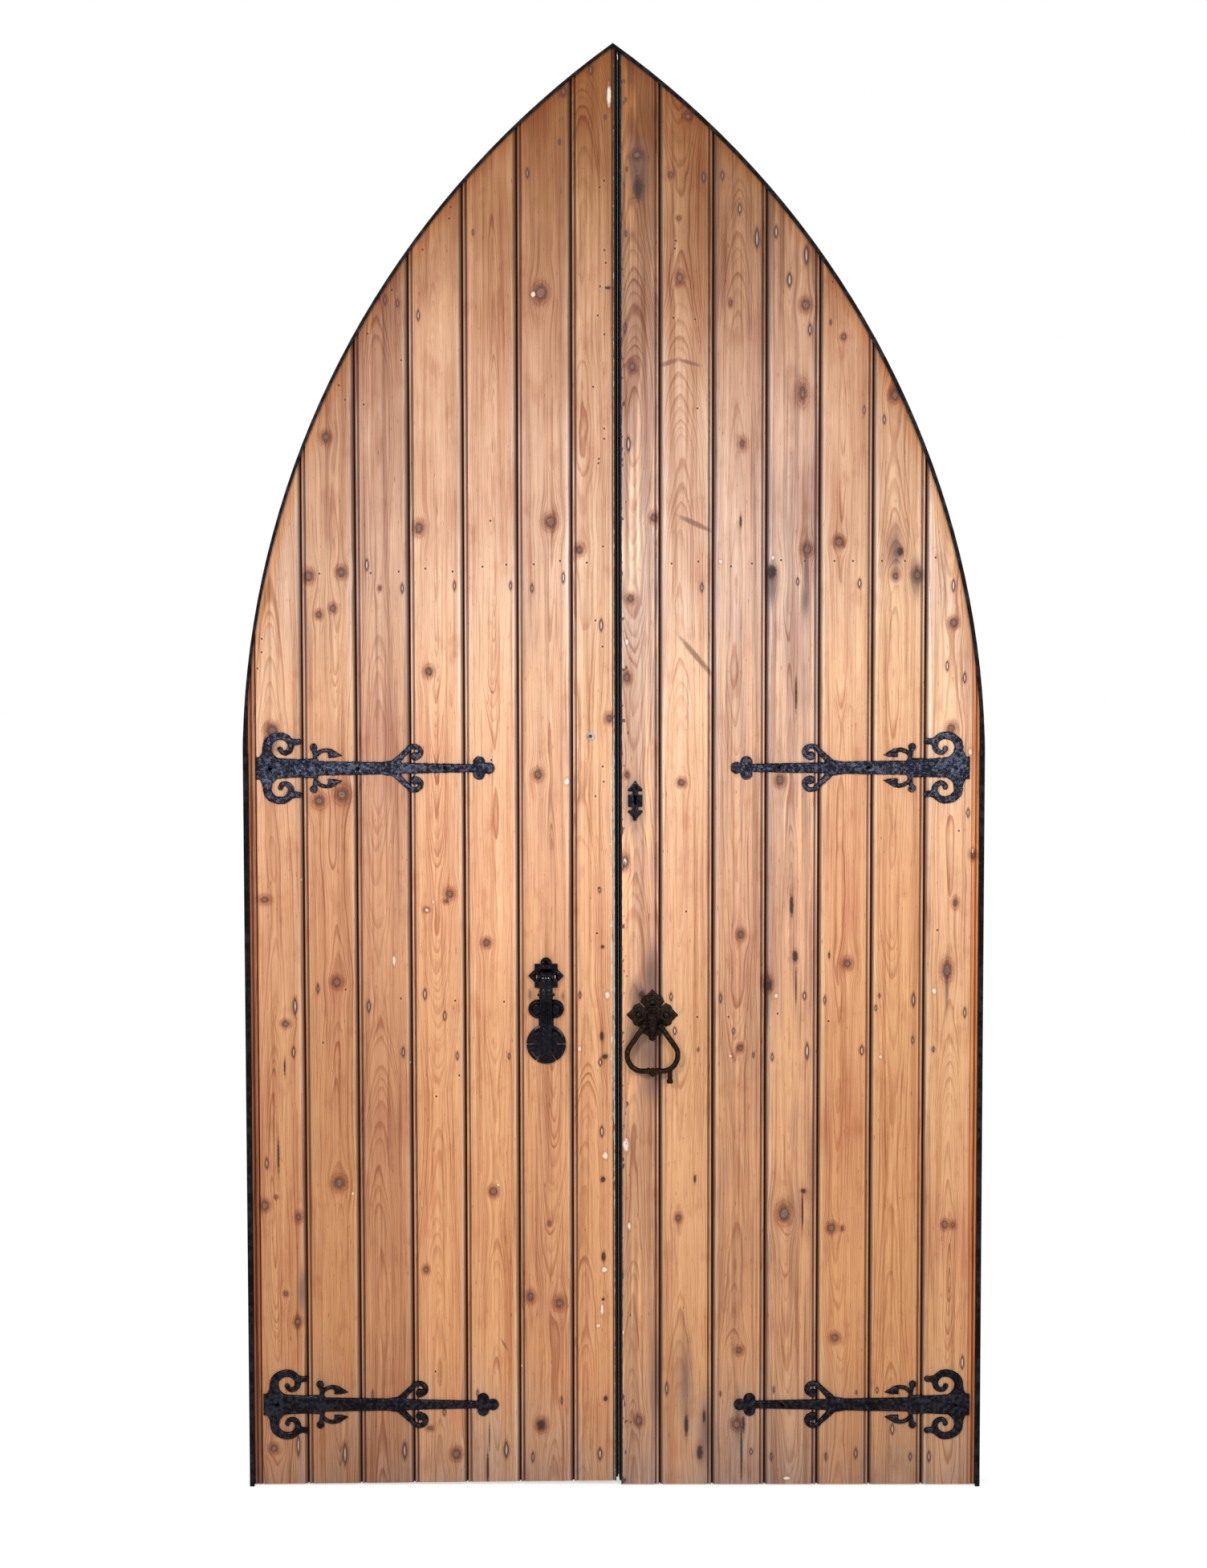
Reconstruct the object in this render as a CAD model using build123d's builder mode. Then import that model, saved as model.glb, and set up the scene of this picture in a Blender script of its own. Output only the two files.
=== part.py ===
"""A pair of boarded doors under a pointed arch, hung in a black iron frame.

Millimetres. X is to the right seen from outside, Y goes into the building, Z is up.
The origin is on the floor, on the centre line of the arch, half-way through the depth.
"""

from build123d import *
from math import acos, atan2, cos, degrees, hypot, radians, sin, sqrt
import os

os.makedirs("parts", exist_ok=True)

# Pointed arch: each side rises straight, eases over, then follows a flatter arc to the apex.
half_width = 782
springing = 1576
apex_height = 3051
ease_radius = 860
ease_turn = 2.1

# Frame: a web all round the doors, and a lip in front of their edges.
face_y = -30
web = 4
frame_depth = 94
lip = 10
left_arch_lip = 6
right_arch_lip = 8
lip_thickness = 6
lip_gap = 2
fixing_count = 2
fixing_pitch = 1000
fixing_middle = 850
fixing_radius = 4.5

# Leaves: beaded boards in front of a frame of stiles, rails, ledges and braces.
board_thickness = 28
backing_thickness = 32
leaf_side_gap = 2
floor_gap = 3
left_foot_rise = 8
meeting_x = 9.4
board_meeting_gap = 10
stile_meeting_gap = 2
stile_width = 95
ledge_height = 150
bottom_ledge_height = 200
top_ledge_height = 120
top_ledge_centre = 1975
brace_width = 95

# Boards: a bead and quirk on the edge towards the hinges, a ramp on the other, and a tongue.
left_board_pitch = 113.7
right_board_pitch = 111.8
left_meeting_board = 92.3
right_meeting_board = 82.7
narrowest_board = 45
board_gap = 3
bead = 5.5
quirk = 4
quirk_depth = 4
meeting_bead = 4
second_bead = 5
ramp = 8
ramp_depth = 3
tongue = 8
tongue_thickness = 8
groove_clearance = 0.5

# Fits shared by the moving pieces.
running_clearance = 0.08
seat_clearance = 0.02
face_clearance = 0.5

# Hinges: a band on the back of the leaf turns on a pintle fixed to the frame.
lower_hinge = 177.5
upper_hinge = 1544
pin_radius = 6
pin_stand = 4
eye_wall = 8
eye_height = 50
pin_from_leaf_edge = 13
band_length = 470
band_thickness = 8
band_tip_height = 34
pintle_radius = 11
pintle_height = 30
pintle_plate_height = 80
pintle_plate_thickness = 5
pintle_plate_depth = 22

# Hinge fronts: u runs from the head of the casting, v up from its centre line.
front_thickness = 6
scroll_steps = 6
front_insets = {"left_lower": 24, "left_upper": 21, "right_lower": 16, "right_upper": 25}
strap_outline = ((0, 24), (45, 22), (90, 19.5), (118, 21), (130, 15.5), (265, 13.2), (290, 17), (304, 12))
strap_tip = (455, 8.6)
trefoil_u = 471
trefoil_radius = 12.6
trefoil_step = 21
trefoil_heart = 10
head_root = ((8, 0), (8, 24), (13, 34), (14, 44), (33, 44), (35, 33), (41, 26), (50, 20), (60, 0))
head_centre = (56, 43)
head_radii = (32.5, 5)
head_turn = (180, -150)
head_widths = (19, 9)
head_eye = 6
head_tail = ((73, 56), 8.5, (88, 55), 6)
head_bulb = ((91, 56), 6.8)
thorn_neck = ((128, 12), 5, (122, 42), 4)
thorn_bulb = ((122, 44), 8.3)
thorn_stem_centre = (148, 13)
thorn_stem_radius = 25
thorn_stem_turn = (152, 72)
thorn_stem_width = 9
thorn_blade = ((146, 42.3), (160, 41), (172, 34), (183, 26.5), (168, 22.5), (152, 22), (152, 31))
fork_root = ((288, 6), 8)
fork_centre = (337, 31)
fork_radii = (17.5, 6)
fork_turn = (150, -100)
fork_widths = (11, 13)
fork_eye = 9.5

# Knocker: a backplate with ears, and an arm that swings on a pin between them.
knocker_x = -143.7
knocker_height = 1103
knocker_plate_thickness = 6
disc_drop = 146
disc_radius = 42
disc_slots = (0, 180, -60, -120)
disc_slot_inner = 22
disc_slot_width = 2.6
waist_half = 16
lobe_drop = 71
lobe_reach = 18
lobe_radius = 20
wing_drop = 41
wing_size = (19, 6)
neck_half = 14
cusp_reach = 38
shoulder_width = 49
shoulder_height = 11
shoulder_rise = 20
finial_rise = 27
finial_radius = 12
hood_rise = 14
hood_height = 12
hood_depth = 20
arm_width = 26
knuckle_radius = 12
knuckle_gap = 4
arm_back_gap = 14
arm_thickness = 13
arm_shoulder_drop = 28
arm_neck_drop = 50
arm_foot_drop = 138
arm_foot_height = 26
arm_heel_height = 6.5
arm_rings = ((32, 3), (39, 3), (46, 3), (113, 3.5), (125, 3.5))
arm_ring_stand = 1.5
flute_count = 5
flute_pitch = 5
flute_radius = 1.8
flute_top_drop = 52
flute_length = 48
knocker_pin_radius = 4
knocker_pin_stand = 2
ear_thickness = 5
ear_radius = 9
stud_radius = 8
stud_height = 4
strike_gap = 0.3

# Ring handle: a diamond rose, a hub on a spindle, and a pear-shaped ring.
handle_x = 81.5
handle_height = 1018.5
rose_thickness = 5
rose_reach = 55
rose_sides = (45, 135, 225, 315)
rose_lobe_centre = 35
rose_lobe_radius = 9.5
rose_lobe_spread = 22
rose_notch = (32, 3.2)
spindle_radius = 6
hub_flange_radius = 17
hub_flange_thickness = 8
hub_radius = 11
hub_rise = 7
hub_drop = 31
hub_rings = (-11, -4, 3)
hub_ring_height = 3
hub_ring_stand = 1
hub_neck_radius = 5
hub_ball_radius = 8
hub_ball_drop = 45
ring_y = -51
ring_pivot_drop = 21
ring_rod_radius = 5.2
ring_eye_radius = 6
ring_pin_radius = 3.5
ring_pin_depth = 4.5
ring_belly_reach = 58
ring_belly_drop = 58
ring_foot_reach = 42
ring_foot_drop = 96
ring_bend = 31
ring_collar_spread = 9
ring_collar_width = 4
ring_collar_stand = 1.6
ring_knob_radius = 5
ring_stub_x = 37
ring_stub_radius = 4.6
ring_stub_length = 26
ring_stub_end_radius = 6.2
ring_stub_end_length = 7
finger_gap = 1
finger_thickness = 5
finger_length = 52
finger_root = 11
finger_tip = 5

# Keyhole plate.
keyhole_x = 45.4
key_plate_height = 1474.5
keyhole_rise = 8
keyhole_radius = 3.5
keyhole_slot_width = 5
keyhole_slot_drop = 16
key_plate_thickness = 4
key_plate_half = 15
key_plate_body_half = 13
key_plate_neck_half = 6
key_leaf_foot = 20
key_leaf_shoulder = 25
key_leaf_waist = (7, 33)
key_leaf_tip = 43

# Rim lock on the back of the right leaf, its bolt, and the keeper on the left leaf.
lock_edge_gap = 2
lock_width = 150
lock_drop = 46
lock_rise = 50
lock_depth = 25
lock_wall = 3
bolt_rise = 26
bolt_height = 28
bolt_thickness = 10
bolt_length = 70
bolt_layer = 6
bolt_slot_gap = 0.3
keeper_edge_gap = 1.5
keeper_width = 34
keeper_wall = 4
keeper_clearance = 1

# Viewer through the left leaf.
viewer_x = -48.5
viewer_height = 1611
viewer_radius = 6
viewer_bore = 3.5
viewer_flange_radius = 8
viewer_flange = 4

# Bar that drops across both leaves inside, stored thrown back past upright.
bar_pivot_x = 165
bar_pivot_rise = 14
bar_height = 26
bar_layer = 8
bar_thickness = 6
bar_overrun = 8
bar_lean = 10
bar_pin_radius = 5
bar_plate_height = 90
bar_plate_width = 44
bar_plate_thickness = 4
bar_head_radius = 9
bar_head_height = 3
hook_from_meeting = 65
hook_width = 35
hook_plate_thickness = 5
hook_slot = 12
hook_wall = 6
hook_tail = 18
hook_lip_height = 26
hook_floor_gap = 1

# Foot bolt on the back of the left leaf.
foot_bolt_x = -45
foot_bolt_radius = 7
foot_bolt_length = 300
foot_bolt_lift = 12
foot_knob_radius = 11
guide_heights = (60, 210)
guide_height = 24
guide_wall = 5
guide_plate_thickness = 4
guide_plate_width = 52
guide_plate_margin = 14

# Places worked out from the sizes above.
board_back_y = face_y + board_thickness
back_y = board_back_y + backing_thickness
frame_front_y = face_y - lip_gap - lip_thickness
frame_back_y = frame_front_y + frame_depth
lip_back_y = frame_front_y + lip_thickness
eye_radius = pin_radius + eye_wall
pivot_y = back_y + eye_radius
leaf_inset = web + leaf_side_gap
rail_inset = leaf_inset + stile_width
leaf_edge = half_width - leaf_inset
leaf_lap = lip - leaf_inset
pivot_x = leaf_edge - pin_from_leaf_edge
crown = bead / 2
knocker_face_y = face_y - knocker_plate_thickness
knocker_pin_y = knocker_face_y - knuckle_gap - knuckle_radius
ring_pivot_z = handle_height - ring_pivot_drop
ring_eye_x = hub_radius + face_clearance + ring_eye_radius
bar_pivot_z = handle_height + bar_pivot_rise
hook_x = meeting_x - hook_from_meeting
keyhole_height = key_plate_height + keyhole_rise
bolt_z = key_plate_height + bolt_rise
top_z = apex_height + half_width

# The right main arc carries on from the easing arc and passes through the apex.
ease_x = half_width - ease_radius
rise = apex_height - springing
chord = hypot(ease_x, rise)
lean = rise * sin(radians(ease_turn)) - ease_x * cos(radians(ease_turn))
centre_step = (chord**2 - ease_radius**2) / (2 * (ease_radius - lean))
main_radius = ease_radius + centre_step
main_x = ease_x - centre_step * cos(radians(ease_turn))
main_z = springing - centre_step * sin(radians(ease_turn))


def on_front(y):
    """Upright plane at depth y that faces the viewer, so that extruding comes forward."""
    return Plane.XZ.offset(-y)


def polar(centre, radius, angle):
    return (centre[0] + radius * cos(radians(angle)), centre[1] + radius * sin(radians(angle)))


def corners(x_a, x_b, z_a, z_b):
    return [(x_a, z_a), (x_b, z_a), (x_b, z_b), (x_a, z_b)]


def bar(plane, centre, radius, length, mode=Mode.ADD):
    """Round bar or round hole in the current part."""
    with BuildSketch(plane) as section:
        with Locations(centre):
            Circle(radius)
    extrude(section.sketch, amount=length, mode=mode)


def block(plane, centre, width, height, length, mode=Mode.ADD):
    """Square-edged block or pocket in the current part."""
    with BuildSketch(plane) as section:
        with Locations(centre):
            Rectangle(width, height)
    extrude(section.sketch, amount=length, mode=mode)


def plate(plane, points, length, mode=Mode.ADD):
    """Straight-sided plate or pocket in the current part."""
    with BuildSketch(plane) as section:
        with BuildLine():
            Polyline(*points, close=True)
        make_face()
    extrude(section.sketch, amount=length, mode=mode)


def facet(points, mode=Mode.ADD):
    """Straight-sided face in the current sketch."""
    with BuildLine() as outline:
        Polyline(*points, close=True)
    make_face(outline.edges(), mode=mode)


def ball(centre, radius):
    with Locations(centre):
        Sphere(radius)


def finish(piece, name):
    """Label a finished piece and write it."""
    piece.part.label = name
    export_step(piece.part, f"parts/{name}.step")


def pointed_arch(inset):
    """The arch's outline in the current sketch, inside the outer face by inset."""
    ease = ease_radius - inset
    main = main_radius - inset
    apex_turn = degrees(acos(-main_x / main)) - ease_turn
    side = half_width - inset
    with BuildLine() as outline:
        Line((-side, 0), (side, 0))
        Line((side, 0), (side, springing))
        CenterArc((ease_x, springing), ease, 0, ease_turn)
        CenterArc((main_x, main_z), main, ease_turn, apex_turn)
        CenterArc((-main_x, main_z), main, 180 - ease_turn - apex_turn, apex_turn)
        CenterArc((-ease_x, springing), ease, 180 - ease_turn, ease_turn)
        Line((-side, springing), (-side, 0))
    make_face(outline.edges())


def arch_prism(inset, y_from, y_to, limits):
    """Solid under the arch between two depths, kept within the upright outline limits."""
    with BuildPart() as prism:
        with BuildSketch(on_front(y_to)):
            pointed_arch(inset)
            facet(limits, mode=Mode.INTERSECT)
        extrude(amount=y_to - y_from)
    return prism.part


def leaf_limits(side, gap):
    """Upright outline of a leaf before the arch cuts it, stopping half a gap from the other."""
    near = meeting_x + side * gap / 2
    near_foot = floor_gap + (left_foot_rise if side < 0 else 0)
    far = side * half_width
    return [(far, floor_gap), (near, near_foot), (near, top_z), (far, top_z)]


# Frame.
def frame_jamb(side):
    outer = side * half_width
    inner = side * (half_width - web)
    lip_x = side * (half_width - lip)
    with BuildPart() as jamb:
        section = [
            (outer, frame_front_y),
            (outer, frame_back_y),
            (inner, frame_back_y),
            (inner, lip_back_y),
            (lip_x, lip_back_y),
            (lip_x, frame_front_y),
        ]
        plate(Plane.XY, section, springing)
        for step in range(fixing_count):
            height = fixing_middle + (step - (fixing_count - 1) / 2) * fixing_pitch
            drill = Plane.YZ.offset(-half_width)
            bar(drill, (pivot_y, height), fixing_radius, 2 * half_width, Mode.SUBTRACT)
    return jamb


def frame_arch(side, lip_reach):
    half = corners(0, side * half_width, springing, top_z)
    with BuildPart() as arch:
        add(arch_prism(0, frame_front_y, frame_back_y, half))
        add(arch_prism(web, lip_back_y, frame_back_y, half), mode=Mode.SUBTRACT)
        add(arch_prism(lip_reach, frame_front_y, lip_back_y, half), mode=Mode.SUBTRACT)
    return arch


def pintles(side):
    """The two hooks that a leaf hangs on."""
    wall = side * (half_width - web)
    axis = (side * pivot_x, pivot_y)
    reach = half_width - web - pivot_x
    with BuildPart() as hooks:
        for height in (lower_hinge, upper_hinge):
            top = height - eye_height / 2 - face_clearance
            foot = Plane.XY.offset(top - pintle_height)
            plate_foot = Plane.XY.offset(top - pintle_plate_height)
            plate_centre = (wall - side * pintle_plate_thickness / 2, pivot_y)
            block(plate_foot, plate_centre, pintle_plate_thickness, pintle_plate_depth, pintle_plate_height)
            bar(foot, axis, pintle_radius, pintle_height)
            block(foot, (wall - side * reach / 2, pivot_y), reach, pintle_radius * sqrt(2), pintle_height)
            bar(foot, axis, pin_radius, pintle_height + face_clearance + eye_height + pin_stand)
    return hooks


finish(frame_jamb(-1), "frame_jamb_left")
finish(frame_jamb(1), "frame_jamb_right")
finish(frame_arch(-1, left_arch_lip), "frame_arch_left")
finish(frame_arch(1, right_arch_lip), "frame_arch_right")
finish(pintles(-1), "pintles_left")
finish(pintles(1), "pintles_right")


# Holes that the hardware needs through a leaf's timber.
def keyhole_cut(margin, y_from, y_to):
    length = y_to - y_from
    slot_centre = (keyhole_x, keyhole_height - keyhole_slot_drop / 2)
    slot_width = keyhole_slot_width + 2 * margin
    bar(on_front(y_to), (keyhole_x, keyhole_height), keyhole_radius + margin, length, Mode.SUBTRACT)
    block(on_front(y_to), slot_centre, slot_width, keyhole_slot_drop + 2 * margin, length, Mode.SUBTRACT)


def through_holes(side, y_from, y_to):
    length = y_to - y_from
    if side > 0:
        centre = (handle_x, handle_height)
        bar(on_front(y_to), centre, spindle_radius + running_clearance, length, Mode.SUBTRACT)
        keyhole_cut(face_clearance, y_from, y_to)
    else:
        centre = (viewer_x, viewer_height)
        bar(on_front(y_to), centre, viewer_radius + seat_clearance, length, Mode.SUBTRACT)


# Boards, numbered from the meeting line.
def board_joints(side, pitch, meeting_board):
    """Where each board begins, from the meeting edge to the hinges."""
    joints = [meeting_x + side * board_meeting_gap / 2]
    place = joints[0] + side * meeting_board
    while leaf_edge - leaf_lap - abs(place) > narrowest_board:
        joints.append(place)
        place += side * pitch
    return joints + [side * leaf_edge]


def board_section(side, outer, inner, at_hinges, at_meeting):
    """Section of one board, from its edge by the hinges to its edge by the meeting line."""
    width = abs(inner - outer)
    start = leaf_lap if at_hinges else 0
    middle = face_y + board_thickness / 2
    tongue_half = tongue_thickness / 2
    groove_half = tongue_half + groove_clearance
    groove_floor = width - tongue + board_gap - groove_clearance

    def at(reach, y):
        return (outer - side * reach, y)

    def notch(reach):
        return [at(reach, face_y), at(reach + quirk / 2, face_y + quirk_depth), at(reach + quirk, face_y)]

    points = [at(start + bead, face_y + crown)] + notch(start + bead)[1:]
    if at_hinges and side < 0:
        points += notch(start + bead + quirk + second_bead)
    if at_meeting and side < 0:
        points += notch(width - meeting_bead - quirk)
    if at_meeting:
        points += [at(width, face_y), at(width, board_back_y)]
    else:
        points += [
            at(width - ramp, face_y),
            at(width, face_y + ramp_depth),
            at(width, middle - groove_half),
            at(groove_floor, middle - groove_half),
            at(groove_floor, middle + groove_half),
            at(width, middle + groove_half),
            at(width, board_back_y),
        ]
    points.append(at(0, board_back_y))
    if not at_hinges:
        points += [
            at(0, middle + tongue_half),
            at(-tongue, middle + tongue_half),
            at(-tongue, middle - tongue_half),
            at(0, middle - tongue_half),
        ]
    points.append(at(0, face_y + crown))
    if at_hinges:
        points.append(at(start, face_y + crown))
    with BuildLine() as outline:
        ThreePointArc(at(start, face_y + crown), at(start + crown, face_y), at(start + bead, face_y + crown))
        Polyline(*points)
    make_face(outline.edges())


def boards(side, name, pitch, meeting_board):
    blank = arch_prism(leaf_inset, face_y, board_back_y, leaf_limits(side, board_meeting_gap))
    joints = board_joints(side, pitch, meeting_board)
    for number, (near, far) in enumerate(zip(joints, joints[1:]), 1):
        at_meeting = number == 1
        at_hinges = number == len(joints) - 1
        inner = near if at_meeting else near + side * board_gap / 2
        outer = far if at_hinges else far - side * board_gap / 2
        with BuildPart() as board:
            with BuildSketch(Plane.XY):
                board_section(side, outer, inner, at_hinges, at_meeting)
            extrude(amount=top_z)
            add(blank, mode=Mode.INTERSECT)
            through_holes(side, face_y, board_back_y)
        finish(board, f"{name}_board_{number}")


boards(-1, "left", left_board_pitch, left_meeting_board)
boards(1, "right", right_board_pitch, right_meeting_board)


# Timber frame behind the boards.
def backing_piece(side, inset, outline):
    blank = arch_prism(inset, board_back_y, back_y, leaf_limits(side, stile_meeting_gap))
    with BuildPart() as piece:
        plate(on_front(back_y), outline, backing_thickness)
        add(blank, mode=Mode.INTERSECT)
        through_holes(side, board_back_y, back_y)
    return piece


def arch_rail(side):
    near = meeting_x + side * stile_meeting_gap / 2
    half = corners(side * half_width, near, springing, top_z)
    with BuildPart() as rail:
        add(arch_prism(leaf_inset, board_back_y, back_y, half))
        add(arch_prism(rail_inset, board_back_y, back_y, half), mode=Mode.SUBTRACT)
    return rail


def backing(side, name):
    edge = side * leaf_edge
    stile_x = side * (leaf_edge - stile_width)
    near = meeting_x + side * stile_meeting_gap / 2
    near_stile_x = near + side * stile_width
    spans = {
        "bottom": (lower_hinge - eye_height / 2, bottom_ledge_height),
        "lock": (handle_height, ledge_height),
        "hinge": (upper_hinge, ledge_height),
        "top": (top_ledge_centre, top_ledge_height),
    }
    finish(backing_piece(side, leaf_inset, corners(edge, stile_x, 0, springing)), f"{name}_hanging_stile")
    finish(backing_piece(side, rail_inset, corners(near, near_stile_x, 0, top_z)), f"{name}_meeting_stile")
    finish(arch_rail(side), f"{name}_arch_rail")
    for place, (centre, height) in spans.items():
        outline = corners(stile_x, near_stile_x, centre - height / 2, centre + height / 2)
        finish(backing_piece(side, rail_inset, outline), f"{name}_ledge_{place}")
    with BuildPart() as braces:
        for low, high in (("bottom", "lock"), ("lock", "hinge")):
            foot = spans[low][0] + spans[low][1] / 2
            head = spans[high][0] - spans[high][1] / 2
            run = abs(stile_x - near_stile_x)
            upright = brace_width / cos(atan2(head - foot, run))
            slope = [(stile_x, foot), (near_stile_x, head - upright)]
            slope += [(near_stile_x, head), (stile_x, foot + upright)]
            plate(on_front(back_y), slope, backing_thickness)
    finish(braces, f"{name}_braces")


backing(-1, "left")
backing(1, "right")


# Band hinges on the back and cast fronts on the boards.
def band(side, height):
    axis = (side * pivot_x, pivot_y)
    tip_x = side * (pivot_x - band_length + band_tip_height / 2)
    tip_half = band_tip_height / 2
    eye_half = eye_height / 2
    eye_foot = Plane.XY.offset(height - eye_half)
    strap = [(axis[0], height - eye_half), (axis[0], height + eye_half)]
    strap += [(tip_x, height + tip_half), (tip_x, height - tip_half)]
    with BuildPart() as hinge:
        plate(on_front(back_y + band_thickness), strap, band_thickness)
        bar(on_front(back_y + band_thickness), (tip_x, height), tip_half, band_thickness)
        bar(eye_foot, axis, eye_radius, eye_height)
        bar(eye_foot, axis, pin_radius + running_clearance, eye_height, Mode.SUBTRACT)
    return hinge


def scroll(centre, radii, turn, widths, eye):
    """Band on an even spiral in the current sketch, ending in a round eye."""
    outer = []
    inner = []
    for step in range(scroll_steps + 1):
        share = step / scroll_steps
        radius = radii[0] + share * (radii[1] - radii[0])
        half = (widths[0] + share * (widths[1] - widths[0])) / 2
        angle = turn[0] + share * (turn[1] - turn[0])
        outer.append(polar(centre, radius + half, angle))
        inner.append(polar(centre, radius - half, angle))
    with BuildLine() as outline:
        Spline(*outer)
        Line(outer[-1], inner[-1])
        Spline(*reversed(inner))
        Line(inner[0], outer[0])
    make_face(outline.edges())
    with Locations(polar(centre, radii[1], turn[1])):
        Circle(eye)


def tapered_link(start, start_half, end, end_half):
    """Straight band with a round far end in the current sketch."""
    turn = atan2(end[1] - start[1], end[0] - start[0])
    step_u = -sin(turn)
    step_v = cos(turn)
    facet(
        [
            (start[0] + step_u * start_half, start[1] + step_v * start_half),
            (end[0] + step_u * end_half, end[1] + step_v * end_half),
            (end[0] - step_u * end_half, end[1] - step_v * end_half),
            (start[0] - step_u * start_half, start[1] - step_v * start_half),
        ]
    )
    with Locations(end):
        Circle(end_half)


def hinge_front(side, height, inset):
    head_x = side * (leaf_edge - inset)
    place = Plane(origin=(head_x, face_y, height), x_dir=(-side, 0, 0), z_dir=(0, -1, 0))
    with BuildPart() as casting:
        with BuildSketch(place):
            facet([(0, 0), *strap_outline, strap_tip, (trefoil_u, strap_tip[1]), (trefoil_u, 0)])
            facet(head_root)
            scroll(head_centre, head_radii, head_turn, head_widths, head_eye)
            tapered_link(*head_tail)
            tapered_link(*thorn_neck)
            facet(thorn_blade)
            with BuildLine() as stem:
                sweep_turn = thorn_stem_turn[1] - thorn_stem_turn[0]
                CenterArc(thorn_stem_centre, thorn_stem_radius, thorn_stem_turn[0], sweep_turn)
            trace(stem.edges(), line_width=thorn_stem_width)
            fork_start = polar(fork_centre, fork_radii[0], fork_turn[0])
            tapered_link(fork_root[0], fork_root[1], fork_start, fork_widths[0] / 2)
            scroll(fork_centre, fork_radii, fork_turn, fork_widths, fork_eye)
            for centre, radius in (head_bulb, thorn_bulb):
                with Locations(centre):
                    Circle(radius)
            with Locations((trefoil_u, trefoil_radius), (trefoil_u + trefoil_step, 0)):
                Circle(trefoil_radius)
            with Locations((trefoil_u + trefoil_heart, 0)):
                Circle(trefoil_heart)
            mirror(about=Plane.XZ)
        extrude(amount=front_thickness)
    return casting


for side, name in ((-1, "left"), (1, "right")):
    for level, height in (("lower", lower_hinge), ("upper", upper_hinge)):
        finish(band(side, height), f"{name}_band_{level}")
        finish(hinge_front(side, height, front_insets[f"{name}_{level}"]), f"{name}_front_{level}")


# Knocker on the left leaf.
with BuildPart() as knocker_plate:
    disc_z = knocker_height - disc_drop
    lobe_z = knocker_height - lobe_drop
    wing_z = knocker_height - wing_drop
    slot_length = 2 * (disc_radius - disc_slot_inner)
    with BuildSketch(on_front(face_y)):
        with Locations((knocker_x, disc_z)):
            Circle(disc_radius)
        for turn in disc_slots:
            slot_centre = polar((knocker_x, disc_z), disc_slot_inner + slot_length / 2, turn)
            with Locations(Location(slot_centre, turn)):
                SlotOverall(slot_length, disc_slot_width, mode=Mode.SUBTRACT)
        with Locations((knocker_x, (disc_z + lobe_z) / 2)):
            Rectangle(2 * waist_half, lobe_z - disc_z)
        with Locations((knocker_x - lobe_reach, lobe_z), (knocker_x + lobe_reach, lobe_z)):
            Circle(lobe_radius)
        with Locations((knocker_x, wing_z)):
            Ellipse(*wing_size)
        with Locations((knocker_x, (lobe_z + knocker_height) / 2)):
            Rectangle(2 * neck_half, knocker_height - lobe_z)
        with Locations((knocker_x, knocker_height)):
            Rectangle(cusp_reach * sqrt(2), cusp_reach * sqrt(2), rotation=45)
        for shoulder_z in (knocker_height - shoulder_rise, knocker_height + shoulder_rise):
            with Locations((knocker_x, shoulder_z)):
                Rectangle(shoulder_width, shoulder_height)
        with Locations((knocker_x, knocker_height + finial_rise)):
            Circle(finial_radius)
    extrude(amount=knocker_plate_thickness)
    hood_foot = Plane.XY.offset(knocker_height + hood_rise)
    block(hood_foot, (knocker_x, knocker_face_y - hood_depth / 2), arm_width, hood_depth, hood_height)
    for ear_side in (-1, 1):
        ear_x = knocker_x + ear_side * (arm_width / 2 + face_clearance)
        ear_plane = Plane.YZ.offset(ear_x)
        ear_reach = knocker_face_y - knocker_pin_y
        ear_depth = ear_side * ear_thickness
        bar(ear_plane, (knocker_pin_y, knocker_height), ear_radius, ear_depth)
        ear_root = (knocker_pin_y + ear_reach / 2, knocker_height)
        block(ear_plane, ear_root, ear_reach, 2 * ear_radius, ear_depth)
        ear_bore = knocker_pin_radius + seat_clearance
        bar(ear_plane, (knocker_pin_y, knocker_height), ear_bore, ear_depth, Mode.SUBTRACT)
    bar(on_front(knocker_face_y), (knocker_x, disc_z), stud_radius, stud_height)
finish(knocker_plate, "knocker_plate")

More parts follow.
